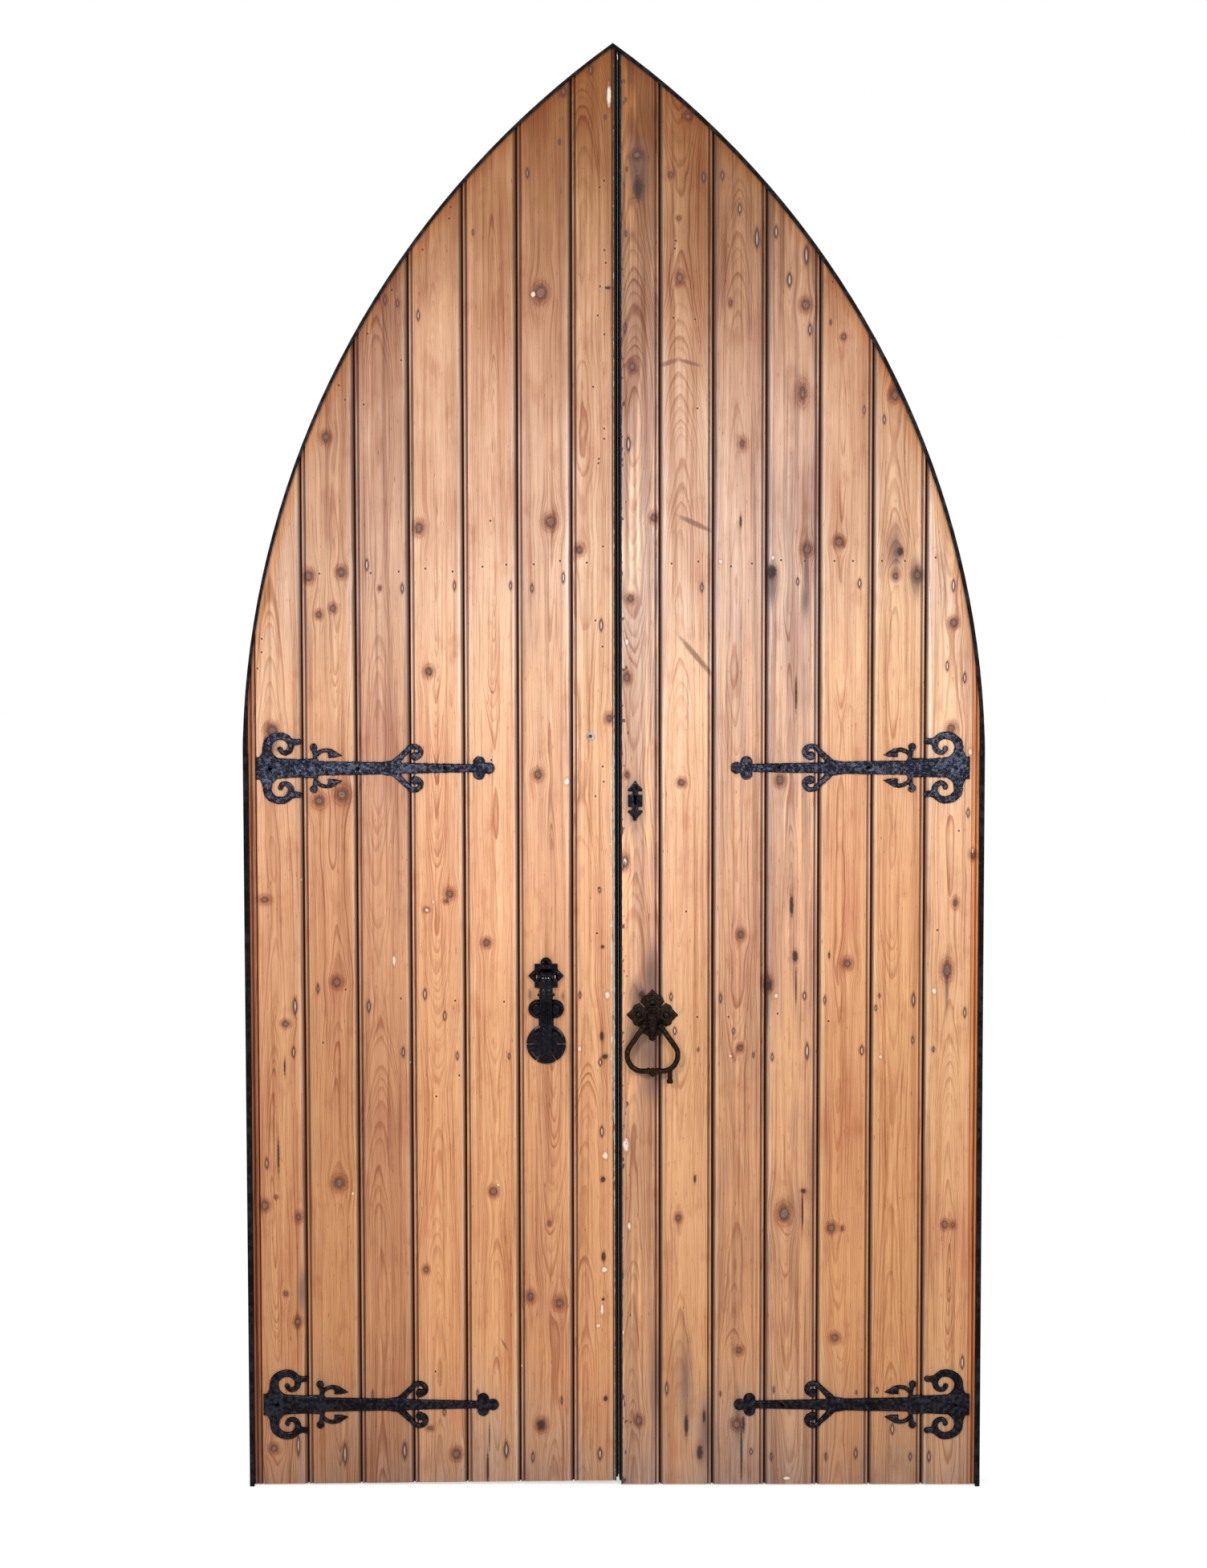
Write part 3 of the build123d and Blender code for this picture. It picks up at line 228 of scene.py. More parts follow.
MARKS["scar"] = (
    (-740, 700, 3.7, 13.3, 1), (-681, 939, 4, 13.3, 1), (-678, 88, 4.3, 26.6, 1), (-677, 1037, 5, 19.9, 1),
    (-628, 1075, 4.1, 13.3, 0.6), (-578, 69, 5.3, 26.6, 1), (-520, 1037, 4.6, 14.9, 0.9),
    (-518, 198, 3, 13.3, 0.6), (-518, 1972, 4, 13.3, 1), (-476, 2524, 4, 11.6, 0.9),
    (-450, 76, 5.6, 21.6, 0.9), (-450, 2517, 3.7, 10, 0.8), (-448, 939, 4, 13.3, 0.8),
    (-444, 1923, 4, 13.3, 0.7), (-407, 2492, 3.7, 13.3, 0.9), (-401, 1063, 4.3, 13.3, 1),
    (-365, 160, 4, 10, 0.7), (-359, 1017, 4, 11.6, 0.9), (-334, 1928, 3.7, 13.3, 0.7),
    (-333, 931, 3.7, 11.6, 0.7), (-293, 202, 3.3, 10, 0.6), (-292, 2663, 3, 8.3, 0.6),
    (-232, 78, 5.6, 19.9, 1), (-223, 930, 3.3, 10, 0.5), (-216, 1928, 3.7, 11.6, 0.7),
    (-178, 2785, 3.7, 11.6, 0.9), (-175, 62, 4, 14.9, 0.7), (-171, 1923, 3.7, 11.6, 0.7),
    (-113, 186, 3.3, 11.6, 0.6), (-111, 2849, 3.3, 8.3, 0.5), (-105, 1945, 3.7, 13.3, 0.9),
    (-72, 1061, 4, 10, 0.6), (-46, 2997, 5, 11.6, 1), (-31, 69, 5, 14.9, 1), (-30, 1285, 3.3, 8.3, 0.7),
    (-29, 917, 4, 10, 0.9), (-26, 768, 4.3, 13.3, 1), (-26, 1845, 4, 14.9, 1), (-16, 2900, 3, 6.6, 0.6),
    (25, 2465, 4, 13.3, 0.8), (27, 2936, 2.7, 6.6, 0.5), (27, 2660, 3.3, 8.3, 0.6), (29, 2793, 2.7, 6.6, 0.5),
    (32, 2224, 5, 16.6, 1), (112, 212, 4, 16.6, 0.8), (121, 1057, 4, 11.6, 0.7), (129, 984, 4, 10, 0.9),
    (179, 944, 2.7, 6.6, 0.5), (186, 1924, 3.7, 11.6, 0.8), (189, 2776, 4.3, 11.6, 1),
    (226, 1054, 4, 13.3, 0.6), (227, 200, 3, 8.3, 0.5), (228, 2779, 4, 11.6, 0.8), (254, 984, 3.7, 8.3, 0.8),
    (264, 2711, 4.3, 13.3, 0.9), (293, 74, 3.7, 8.3, 0.8), (296, 932, 3, 8.3, 0.5), (300, 2650, 5.3, 23.2, 1),
    (336, 928, 3.7, 11.6, 0.6), (336, 63, 4, 11.6, 0.6), (340, 2663, 4.3, 14.9, 1), (341, 209, 3, 10, 0.5),
    (368, 2564, 5.3, 16.6, 1), (387, 1936, 3.7, 10, 0.8), (403, 2615, 5.6, 21.6, 1), (404, 1059, 4, 10, 1),
    (410, 940, 4.3, 19.9, 1), (411, 2461, 4.3, 14.9, 0.8), (447, 1050, 3.3, 11.6, 0.7),
    (453, 63, 3.7, 11.6, 0.6), (454, 2476, 3.3, 8.3, 0.4), (517, 70, 4, 13.3, 0.9), (517, 1932, 4, 11.6, 0.9),
    (518, 203, 3, 6.6, 0.5), (525, 2294, 3, 10, 1), (526, 942, 4.6, 11.6, 1), (555, 1033, 3.3, 8.3, 0.7),
    (562, 208, 3.7, 8.3, 0.7), (563, 1059, 3.3, 6.6, 0.5), (567, 2274, 3.7, 11.6, 0.8),
    (595, 123, 4.3, 13.3, 1), (634, 964, 3.3, 10, 0.8), (634, 63, 4, 11.6, 0.6), (635, 1050, 4.3, 16.6, 0.9),
    (674, 63, 4, 13.3, 0.9), (678, 944, 3.7, 8.3, 0.6), (702, 1758, 3.7, 13.3, 0.8), (714, 1927, 4, 14.9, 1),
    (739, 1733, 4, 13.3, 0.9), (744, 1023, 3.7, 13.3, 0.9), (744, 268, 4, 16.6, 1),
    (748, 1448, 3.7, 11.6, 0.8),
)
MARKS["pale"] = (
    (-660, 1308, 5, 4.1, 0.7), (-557, 635, 3.3, 4.1, 0.6), (-466, 1135, 3.3, 11.6, 0.8),
    (-433, 917, 2.7, 5, 0.6), (-410, 1168, 2.5, 3.3, 0.5), (-396, 1243, 5, 5, 0.6),
    (-382, 1260, 3.3, 4.1, 0.6), (-247, 653, 3.3, 3.3, 0.7), (-198, 261, 2.3, 5, 0.5),
    (-167, 2535, 5.6, 6.6, 0.8), (-99, 1515, 6.6, 8.3, 0.7), (-73, 946, 4, 5.6, 0.8), (-34, 348, 5.6, 5, 0.6),
    (-26, 383, 3.7, 13.3, 0.8), (-21, 470, 6, 5.6, 1), (-19, 716, 6.6, 8.3, 0.8), (-14, 1061, 5, 8.3, 0.9),
    (-8, 2944, 5.6, 26.6, 0.7), (18, 334, 2.7, 6.6, 0.8), (24, 1345, 5, 10, 0.6), (25, 739, 6.6, 14.9, 0.9),
    (28, 1810, 4, 6.6, 0.9), (32, 564, 4.3, 10, 0.6), (225, 1978, 4, 5, 0.7), (247, 930, 5, 4.1, 0.4),
    (335, 1986, 4, 5, 0.7), (344, 1059, 4, 5.6, 0.8), (369, 16, 10, 5, 0.5), (566, 928, 4, 4.3, 0.7),
    (679, 1069, 5, 6.6, 0.9), (752, 1577, 4, 6.6, 0.9), (758, 1368, 2.7, 6.6, 0.7),
)
MARKS["stain"] = (
    (78, 1092, 14, 60, 1), (52, 1050, 22, 40, 0.9), (45, 975, 22, 55, 1), (82, 940, 44, 46, 0.75),
    (84, 880, 30, 60, 0.55), (-178, 1062, 5, 14, 0.7), (-108, 1058, 5, 12, 0.6), (-720, 1600, 14, 30, 0.8),
    (330, 1930, 12, 40, 0.9), (404, 1960, 4, 70, 1), (404, 1900, 9, 40, 0.7), (590, 2000, 16, 60, 0.6),
    (635, 1945, 14, 40, 0.7), (44, 1470, 24, 60, 0.5), (706, 1090, 4, 60, 1), (325, 1050, 4, 60, 0.9),
    (92, 250, 30, 170, 0.35), (150, 230, 26, 150, 0.3), (196, 120, 20, 90, 0.6), (264, 150, 8, 60, 0.7),
    (-668, 420, 12, 60, 0.4), (52, 2800, 24, 60, 0.5),
)
# Slanting marks: x, z, half length, half thickness, turn from level in degrees, strength.
MARKS["streak"] = (
    (171, 2058, 32, 5, -25, 1), (175, 1778, 48, 5, -50, 1), (116, 2393, 22, 5, 19, 0.8),
    (159, 2393, 24, 4, -17, 0.8), (408, 1973, 64, 1.6, -89, 1), (-235, 307, 13, 2.6, -60, 0.8),
)
# Open nail holes: x and z alone, and then the size and strength that all of them have.
HOLES = (
    (-750, 1755), (-741, 1789), (-740, 1817), (-618, 1954), (-618, 959), (-574, 2347), (-569, 1073),
    (-561, 2317), (-522, 2307), (-513, 2454), (-510, 1955), (-462, 2545), (-452, 1054), (-451, 1958),
    (-443, 2399), (-397, 2628), (-395, 1964), (-383, 249), (-378, 844), (-341, 2692), (-338, 1958),
    (-338, 2716), (-337, 1049), (-329, 889), (-275, 1968), (-258, 2064), (-258, 1561), (-233, 1047),
    (-225, 1972), (-167, 1973), (-112, 1980), (-56, 1976), (-42, 2343), (-38, 1855), (-38, 1484), (-36, 1193),
    (-32, 1289), (-32, 2491), (-31, 2184), (-30, 2193), (-28, 2756), (-27, 2551), (-23, 1800), (-23, 1547),
    (-22, 2010), (-21, 1515), (-19, 2256), (-19, 2235), (-18, 2769), (-18, 2626), (-18, 2452), (-15, 2600),
    (-15, 2549), (122, 1974), (126, 2486), (129, 2629), (131, 2645), (153, 1239), (171, 2483), (176, 2298),
    (177, 1014), (178, 1978), (243, 1014), (247, 1968), (291, 1974), (347, 1021), (352, 1981), (402, 1979),
    (455, 1005), (458, 2560), (464, 1979), (503, 1979), (564, 1979), (612, 1979), (676, 1986), (685, 1199),
    (729, 1410),
)
MARKS["hole"] = tuple((x, z, 2.2, 2.6, 1) for x, z in HOLES)
MARK_MARGIN = 0.004
FAINT_REACH = 0.6

# Colour of the boards at shares of the height: bleached in the middle, brown at the head and the foot. This
# is weathering, with painted shade as well towards the head.
AGEING_AND_SHADE = (
    (0, (0.392, 0.236, 0.159)), (0.03, (0.506, 0.279, 0.159)), (0.09, (0.621, 0.307, 0.145)),
    (0.22, (0.659, 0.331, 0.161)), (0.32, (0.688, 0.357, 0.182)), (0.42, (0.807, 0.435, 0.248)),
    (0.55, (0.845, 0.515, 0.323)), (0.63, (0.783, 0.506, 0.351)), (0.72, (0.645, 0.383, 0.254)),
    (0.8, (0.516, 0.274, 0.159)), (0.88, (0.361, 0.17, 0.0767)), (0.96, (0.258, 0.0945, 0.0252)),
)
# Tone of each board against the mean, from the meeting line outwards, and how grey its streaks are.
TONES = {
    "left": (
        (1.07, 1.08, 1.06, 0.1), (1.02, 1, 1, 0.25), (1.12, 1.12, 1.11, 0), (1.08, 1.06, 1.03, 0),
        (0.81, 0.75, 0.75, 0.3), (0.85, 0.78, 0.72, 0.2), (0.92, 0.89, 0.87, 0.1),
    ),
    "right": (
        (1.28, 1.26, 1.22, 1), (1.07, 1.12, 1.15, 0.1), (0.94, 0.95, 1, 0.45), (1.02, 1.06, 1.12, 0.6),
        (0.99, 0.95, 0.89, 0), (0.99, 0.96, 0.87, 0.05), (1.06, 1.12, 1.13, 0.25),
    ),
}
# Seeds of the boards' patterns: step from board to board and offset of the right leaf.
SEED_STEP = 5.3
RIGHT_SEED = 57.1
# Tints of the grain: field, levels between which the tint comes in, its strength and its shade. The late wood
# lies between the broad tints and the fine ones.
BROAD_TINTS = (
    ("cloud", 0.5, 0.7, 0.8, (0.88, 0.74, 0.72)),
    ("cloud", 0.47, 0.3, 0.8, (1.1, 1.14, 1.14)),
    ("band", 0.52, 0.68, 0.75, (0.76, 0.64, 0.56)),
    ("band", 0.46, 0.32, 0.7, (1.14, 1.2, 1.22)),
    ("patch", 0.53, 0.7, 0.6, (0.8, 0.68, 0.63)),
    ("streak", 0.52, 0.7, 0.8, (0.7, 0.56, 0.46)),
    ("streak", 0.46, 0.3, 0.75, (1.16, 1.26, 1.34)),
)
LATE_WOOD = (0.52, 0.33, 0.24)
FINE_TINTS = (
    ("fibre", 0.52, 0.72, 0.75, (0.62, 0.45, 0.36)),
    ("fibre", 0.45, 0.28, 0.6, (1.18, 1.26, 1.34)),
)
GREYED = (0.66, 0.73, 0.88)
PORES = (0.45, 0.27, 0.2)
STAIN = (0.12, 0.075, 0.068)
# Dark down in the joints between the boards: dirt and painted shade together.
JOINT_DIRT_AND_SHADE = (0.045, 0.012, 0.006)
MEETING_BLACK = (0.007, 0.006, 0.006)
STILE_BLACK = (0.006, 0.005, 0.005)
WHITE_PAINT = (0.7, 0.64, 0.56)
PAINT_SPECKS = (0.05, 0.03, 0.025)


def ring_lines(net, across, depth, along, seed, pith_x, pith_y, slope, spacing):
    """Growth rings round a wandering pith behind the board, and the dark late wood in each."""
    drift = (net.line_noise(along, 0.7, seed) - 0.5) * 0.13
    drift = drift + (net.line_noise(along, 3.5, seed + 2) - 0.5) * 0.013
    drift = drift + (net.line_noise(along, 15, seed + 4) - 0.5) * 0.0014
    sway = (net.line_noise(along, 2, seed + 7) - 0.5) * 0.022
    ripple = (net.noise(net.join(across * 60, depth * 40, along * 15), 1, 2) - 0.5) * 0.0018
    side = (across - pith_x + sway + ripple) * 1.5
    behind = depth - FACE + pith_y + along * slope + drift + ripple
    radius = net.math("SQRT", side * side + behind * behind)
    turn = radius / spacing + (net.line_noise(radius, 110, seed + 3) - 0.5) * 2
    share = net.math("FRACT", turn)
    late = net.span(share, 0.4, 0.86) * net.fade(share, 0.9, 1)
    strength = net.chance(net.math("FLOOR", turn) + seed) * 0.75 + 0.25
    return late * strength


def placed(net, flat, mark):
    """Place against a mark's middle, with its half width and half height as units."""
    x, z, half_x, half_z = mark[:4]
    scale = Vector((1 / (half_x * MM), 0, 1 / (half_z * MM)))
    return net.vector("MULTIPLY_ADD", flat, scale, Vector((-x / half_x, 0, -z / half_z)))


def round_reach(net, flat, mark):
    """Distance from the middle of an oval mark, 1 at its rim."""
    return net.vector("LENGTH", placed(net, flat, mark))


def lens_reach(net, flat, mark):
    """As round_reach, for an upright lens with pointed ends."""
    split = net.node("ShaderNodeSeparateXYZ", placed(net, flat, mark))
    x, z = Wire(net, split.outputs[0]), Wire(net, split.outputs[2])
    return net.math("MULTIPLY_ADD", z, z, net.math("ABSOLUTE", x))


def streak_reach(net, flat, mark):
    """As round_reach, for a slanting mark."""
    x, z, half_length, half_width, turn, _ = mark
    cos, sin = math.cos(math.radians(turn)), math.sin(math.radians(turn))
    total = None
    for axis, half in (((cos, 0, sin), half_length * MM), ((-sin, 0, cos), half_width * MM)):
        steps = net.vector("DOT_PRODUCT", flat, Vector(axis) / half) - (axis[0] * x + axis[2] * z) * MM / half
        total = steps * steps if total is None else total + steps * steps
    return net.math("SQRT", total)


def nearest(net, flat, marks, reach):
    """Least distance from any of the marks, 1 at a rim; a faint mark keeps further off."""
    near = None
    for mark in marks:
        this = reach(net, flat, mark) + (1 - mark[-1]) * FAINT_REACH
        near = this if near is None else net.math("MINIMUM", near, this)
    return near


# How plain marks are painted: kinds, measure, raggedness of the rim, the halo that stains the wood round the
# mark and the fill inside it, each with its two levels, strength and colour.
PAINTED = (
    (("blot", "void"), round_reach, 1,
     (0.9, 2.2, 0.6, (0.6, 0.5, 0.48)), (0.7, 1.3, 0.95, (0.035, 0.02, 0.018))),
    (("streak",), streak_reach, 1,
     None, (0.6, 1.6, 0.75, (0.2, 0.085, 0.06))),
    (("pale",), round_reach, 1.4,
     (1, 2, 0.5, (0.7, 0.6, 0.55)), (0.6, 1.15, 0.9, (0.88, 0.76, 0.62))),
    (("scar",), lens_reach, 0.4,
     (1, 2.3, 0.75, (0.62, 0.52, 0.5)), (0.8, 1.25, 0.9, (0.07, 0.038, 0.032))),
    (("hole",), round_reach, 0.5,
     (1, 3, 0.5, (1.2, 1.25, 1.3)), (0.75, 1.2, 0.95, (0.06, 0.022, 0.016))),
)


def grain_fields(net, across, seed):
    """Noise fields of a board, from the finest fibres to broad clouds."""
    return {
        "fibre": net.noise(net.join(across * 640, net.y * 300, net.z * 15), 1, 3, 0.7),
        "streak": net.noise(net.join(across * 190, net.y * 90, net.z * 2.6 + seed), 1, 3, 0.65),
        "band": net.noise(net.join(across * 62, net.y * 30, net.z * 1.1 - seed), 1, 2, 0.6),
        "cloud": net.noise(net.join(net.x * 9, net.y, net.z * 2.6 + seed), 1, 3, 0.6),
        "patch": net.noise(net.join(net.x * 28, net.y, net.z * 12 - seed), 1, 3, 0.65),
    }


def sound_wood(net, fields, late, tone, grey):
    """Colour of a board without its marks."""
    cloud, band, streak = fields["cloud"], fields["band"], fields["streak"]
    # Colour by height: weathering, with painted shade towards the head.
    colour = net.ramp((net.z + (cloud - 0.5) * 0.5 + (band - 0.5) * 0.2) / TOP, AGEING_AND_SHADE)
    colour = net.tint(1, colour, tuple(tone))
    for field, start, end, strength, shade in BROAD_TINTS:
        colour = net.tint(net.span(fields[field], start, end) * strength, colour, shade)
    colour = net.tint(late * net.span(cloud, 0.32, 0.62, 0.4, 0.9), colour, LATE_WOOD)
    for field, start, end, strength, shade in FINE_TINTS:
        colour = net.tint(net.span(fields[field], start, end) * strength, colour, shade)
    if grey:
        dull = net.span(band * 0.6 + streak * 0.4 + cloud * 0.5, 0.78 - grey * 0.18, 0.88 - grey * 0.12)
        colour = net.tint(dull * grey, colour, GREYED)
    pores = net.noise(net.join(net.x * 330, net.y, net.z * 42), 1, 1)
    return net.tint(net.span(pores, 0.7, 0.76) * 0.8, colour, PORES)


def knotted(net, flat, near, colour):
    """Knots: darker wood bent round them, and rings inside a dark rim."""
    colour = net.tint(net.fade(near, 0.9, 2.9, 0.85), colour, (0.62, 0.45, 0.38))
    shells = net.math("SINE", near * 11) * 0.5 + 0.5
    colour = net.tint(shells * net.fade(near, 1.2, 2.6, 0.6), colour, (0.5, 0.33, 0.26))
    kind = net.noise(flat, 9, 0)
    inner = net.mix(net.span(kind, 0.42, 0.56), (0.17, 0.085, 0.065), (0.1, 0.062, 0.066))
    rings = net.math("SINE", near * 17) * 0.5 + 0.5
    inner = net.mix(rings * 0.75, inner, (0.34, 0.18, 0.125))
    inner = net.mix(net.span(near, 0.55, 0.95), inner, (0.06, 0.034, 0.034))
    return net.mix(net.fade(near, 0.85, 1.25, 0.92), colour, inner)


def marked(net, flat, here, fields, colour):
    """Stains and knots, then blots, cracks, filled nail holes and small open ones."""
    sound = colour
    wobble = (net.noise(flat, 160, 2) - 0.5) * 0.7
    own = here("stain")
    if own:
        near = nearest(net, flat, own, round_reach)
        near = near + (fields["streak"] - 0.5) * 1.6 + (fields["fibre"] - 0.5) * 0.5
        colour = net.mix(net.fade(near, 0.2, 1.7, 0.78), colour, STAIN)
    own = here("knot")
    if own:
        colour = knotted(net, flat, nearest(net, flat, own, round_reach) + wobble, colour)
    for kinds, reach, ragged, halo, fill in PAINTED:
        own = here(*kinds)
        if not own:
            continue
        near = nearest(net, flat, own, reach) + wobble * ragged
        if halo:
            colour = net.tint(net.fade(near, *halo[:3]), colour, halo[3])
        colour = net.mix(net.fade(near, *fill[:3]), colour, fill[3])
        if "scar" in kinds:
            plug = net.tint(1, sound, (1.25, 1.6, 2.1))
            colour = net.mix(net.fade(near, 0.26, 0.46, 0.95), colour, plug)
    return colour


def edged(net, side, number, limits, fields, colour):
    """Worn bead, pale strip beside the joint, dirt and painted shade down in it, and the orange rim along the
    arch.
    """
    streak, patch = fields["streak"], fields["patch"]
    outward = dict(SIDES)[side]
    last = number == BOARDS
    inner, outer = limits if outward > 0 else limits[::-1]
    from_edge = net.math("ABSOLUTE", net.x - (outer - outward * (0 if last else TONGUE)))
    from_inner = net.math("ABSOLUTE", net.x - inner)
    worn = net.span(patch + fields["fibre"] * 0.5, 0.55, 0.95, 1, 0.45)
    if last:
        rim = net.fade(from_edge + (streak - 0.5) * 0.003, 0.017, 0.021)
        shade = (1, 0.62, 0.36) if side == "right" else (0.5, 0.34, 0.3)
        colour = net.tint(rim * 0.9, colour, shade)
        line = net.fade(net.math("ABSOLUTE", from_edge - 0.02), 0.0006, 0.002, 0.8)
        colour = net.tint(line, colour, (0.42, 0.26, 0.2))
    else:
        bead = net.fade(from_edge + (streak - 0.5) * 0.002, 0.006, 0.0075)
        colour = net.tint(bead * worn, colour, (0.88, 0.98, 1.25))
        colour = net.tint(net.fade(from_edge, 0.0008, 0.0026, 0.9), colour, (0.32, 0.22, 0.18))
    if number > 1:
        strip = net.span(from_inner, 0.0022, 0.0045)
        strip = strip * net.fade(from_inner + (streak - 0.5) * 0.004, 0.0072, 0.0125)
        colour = net.tint(strip * 0.85, colour, (1.08, 1.32, 1.6))
        colour = net.tint(net.fade(from_inner, 0.0006, 0.0032, 0.95), colour, (0.3, 0.21, 0.17))
    arch_x, arch_z = net.x + outward * ARCH_CENTRE[0], net.z - ARCH_CENTRE[1]
    to_arch = ARCH_RADIUS - net.math("SQRT", arch_x * arch_x + arch_z * arch_z)
    edge = net.fade(to_arch + (patch - 0.5) * 0.03, 0.008, 0.03) * net.span(net.z, 1.6, 1.9)
    colour = net.tint(edge * 0.7, colour, (0.95, 0.72, 0.45))
    quirk = net.span(from_edge, 0.004, 0.006, 0.98, 0.6)
    # Below the face the wood is darkened by its depth, as dirt and painted shade; it is weaker in the quirk,
    # which has shade of its own.
    recess_dirt_and_shade = net.span(net.y + (streak - 0.5) * 0.0012, FACE + 0.0003, FACE + 0.0018)
    colour = net.mix(recess_dirt_and_shade * quirk, colour, JOINT_DIRT_AND_SHADE)
    return meeting_edge(net, side, from_inner, colour) if number == 1 else colour


def meeting_edge(net, side, from_inner, colour):
    """Black edge where the leaves meet, and the worn white paint or the specks beside it."""
    fray = (net.line_noise(net.z, 60, 5, 2) - 0.5) * 0.0016
    black = net.span(net.y, FACE + 0.0008, FACE + 0.002) * net.fade(from_inner, 0.003, 0.004)
    lip = net.fade(from_inner + fray, 0.003, 0.0037)
    colour = net.mix(net.math("MAXIMUM", black, lip), colour, MEETING_BLACK)
    if side == "right":
        specks = net.noise(net.join(net.x * 110, net.y * 110, net.z * 55 + 9), 1, 1)
        return net.mix(net.span(specks - from_inner * 9, 0.58, 0.63) * 0.85, colour, PAINT_SPECKS)
    where = net.span(net.z, 0.5, 1) * net.fade(net.z, 1.5, 1.8)
    chips = net.noise(net.join(net.x * 160, net.y * 160, net.z * 50), 1, 3, 0.7)
    paint = net.span(chips + where * 0.28 - from_inner * 36, 0.46, 0.52)
    paint = paint * net.span(from_inner + fray, 0.0026, 0.0034)
    paint = paint * net.fade(net.y, FACE + 0.003, FACE + 0.004)
    return net.mix(paint * 0.92, colour, WHITE_PAINT)


def pine_board(side, number):
    """One beaded board: rings bent round its knots, grain, marks and edges."""
    name = board_names(side)[number - 1]
    low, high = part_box(name)
    *tone, grey = TONES[side][number - 1]
    seed = number * SEED_STEP + (0 if side == "left" else RIGHT_SEED)
    rng = np.random.default_rng(int(seed * 10))
    net = Net(f"pine_{name}")
    flat = net.join(net.x, 0, net.z)

    def here(*kinds):
        rows = [mark for kind in kinds for mark in MARKS[kind]]
        return [mark for mark in rows if low.x - MARK_MARGIN < mark[0] * MM < high.x + MARK_MARGIN]

    push = 0
    for x, z, half_x, half_z, strength in here("knot", "void"):
        if strength > 0.5:
            reach = round_reach(net, flat, (x, z, half_x * 2.4, half_z * 3.4))
            push = push + net.math("EXPONENT", reach * reach * -1) * (net.x - x * MM)
    across = net.x - push * 0.92

    pith_x = (low.x + high.x) / 2 + rng.uniform(-0.018, 0.018)
    pith_y = rng.uniform(0.02, 0.05)
    slope = rng.choice((-1, 1)) * rng.uniform(0.006, 0.024)
    spacing = rng.uniform(0.0027, 0.0038)
    late = ring_lines(net, across, net.y, net.z, seed, pith_x, pith_y + abs(slope) * 1.5, slope, spacing)
    fields = grain_fields(net, across, seed)
    colour = sound_wood(net, fields, late, tone, grey)
    colour = marked(net, flat, here, fields, colour)
    colour = edged(net, side, number, (low.x, high.x), fields, colour)

    grain = net.noise(net.join(net.x * 700, net.y * 300, net.z * 14), 1, 1)
    normal = net.bump(grain, 0.0006, 0.6)
    rough = net.span(fields["fibre"], 0.2, 0.8, 0.66, 0.46)
    return net.finish(Base_Color=colour, Roughness=rough, Normal=normal, Specular_IOR_Level=0.22)


def framing_pine(name, seed, turn):
    """Plainer timber; turn is the angle of its grain from upright, in degrees."""
    net = Net(name)
    cos, sin = math.cos(math.radians(turn)), math.sin(math.radians(turn))
    along = net.z * cos + net.x * sin
    across = net.x * cos - net.z * sin
    late = ring_lines(net, across, net.y, along, seed, 0.37, 0.05, 0.02, 0.0036)
    fibre = net.noise(net.join(across * 900, net.y * 400, along * 16), 1, 2)
    cloud = net.noise(net.join(across * 8, net.y * 8, along * 2 + seed), 1, 3)
    streak = net.noise(net.join(across * 120, net.y * 60, along * 2 + seed), 1, 3)
    colour = net.mix(net.span(cloud, 0.35, 0.65), (0.6, 0.32, 0.17), (0.42, 0.2, 0.105))
    colour = net.tint(net.span(streak, 0.5, 0.7) * 0.7, colour, (0.66, 0.55, 0.48))
    colour = net.tint(late * 0.9, colour, (0.5, 0.34, 0.25))
    colour = net.tint(net.span(fibre, 0.5, 0.72) * 0.7, colour, (0.6, 0.45, 0.38))
    if turn == 0:
        gap = net.fade(net.math("ABSOLUTE", net.x - MEETING), 0.011, 0.013)
        colour = net.mix(gap * net.fade(net.y, 0.026, 0.028), colour, STILE_BLACK)
    normal = net.bump(net.noise(net.join(across * 700, net.y * 300, along * 14), 1, 1), 0.0006, 0.6)
    return net.finish(Base_Color=colour, Roughness=0.6, Normal=normal, Specular_IOR_Level=0.25)


def iron(name, dark, light, gloss, dents, cell, rust):
    """Blacked iron with a metal sheen, painted lighter on the high spots as sheen and darker in the dents as
    shade.

    The gloss is the least roughness, the dents are a depth in metres and the cell is their number to a metre.
    """
    net = Net(name)
    coarse = net.noise(net.place, cell, 1, 0.5)
    fine = net.noise(net.place, cell * 4, 1, 0.6)
    cloud = net.noise(net.place, 14, 2)
    height = coarse * 0.85 + fine * 0.15
    # The colour follows the dents: painted shade down in them and painted sheen on the high spots, with
    # uneven tone from the cloud.
    colour = net.mix(net.span(height + (cloud - 0.5) * 0.4, 0.4, 0.7), dark, light)
    colour = net.mix(net.span(fine, 0.62, 0.8) * rust, colour, (0.05, 0.028, 0.02))
    rough = net.span(fine, 0.3, 0.7, gloss, gloss + 0.12)
    return net.finish(Base_Color=colour, Roughness=rough, Metallic=1, Normal=net.bump(height, dents))


def steel(name):
    net = Net(name)
    scratch = net.noise(net.join(net.x * 900, net.y * 900, net.z * 60), 1, 2)
    cloud = net.noise(net.place, 60, 3)
    colour = net.mix(net.span(cloud, 0.4, 0.7), (0.42, 0.4, 0.38), (0.2, 0.16, 0.13))
    rough = net.span(scratch, 0.3, 0.7, 0.3, 0.5)
    return net.finish(Base_Color=colour, Roughness=rough, Metallic=1, Normal=net.bump(scratch, 0.0002, 0.5))


def rubber(name):
    net = Net(name)
    worn = net.noise(net.join(net.x * 400, net.y * 400, net.z * 30), 1, 2)
    colour = net.mix(net.span(worn, 0.4, 0.7), (0.006, 0.006, 0.006), (0.014, 0.013, 0.012))
    return net.finish(Base_Color=colour, Roughness=0.8, Normal=net.bump(worn, 0.0002), Specular_IOR_Level=0.1)


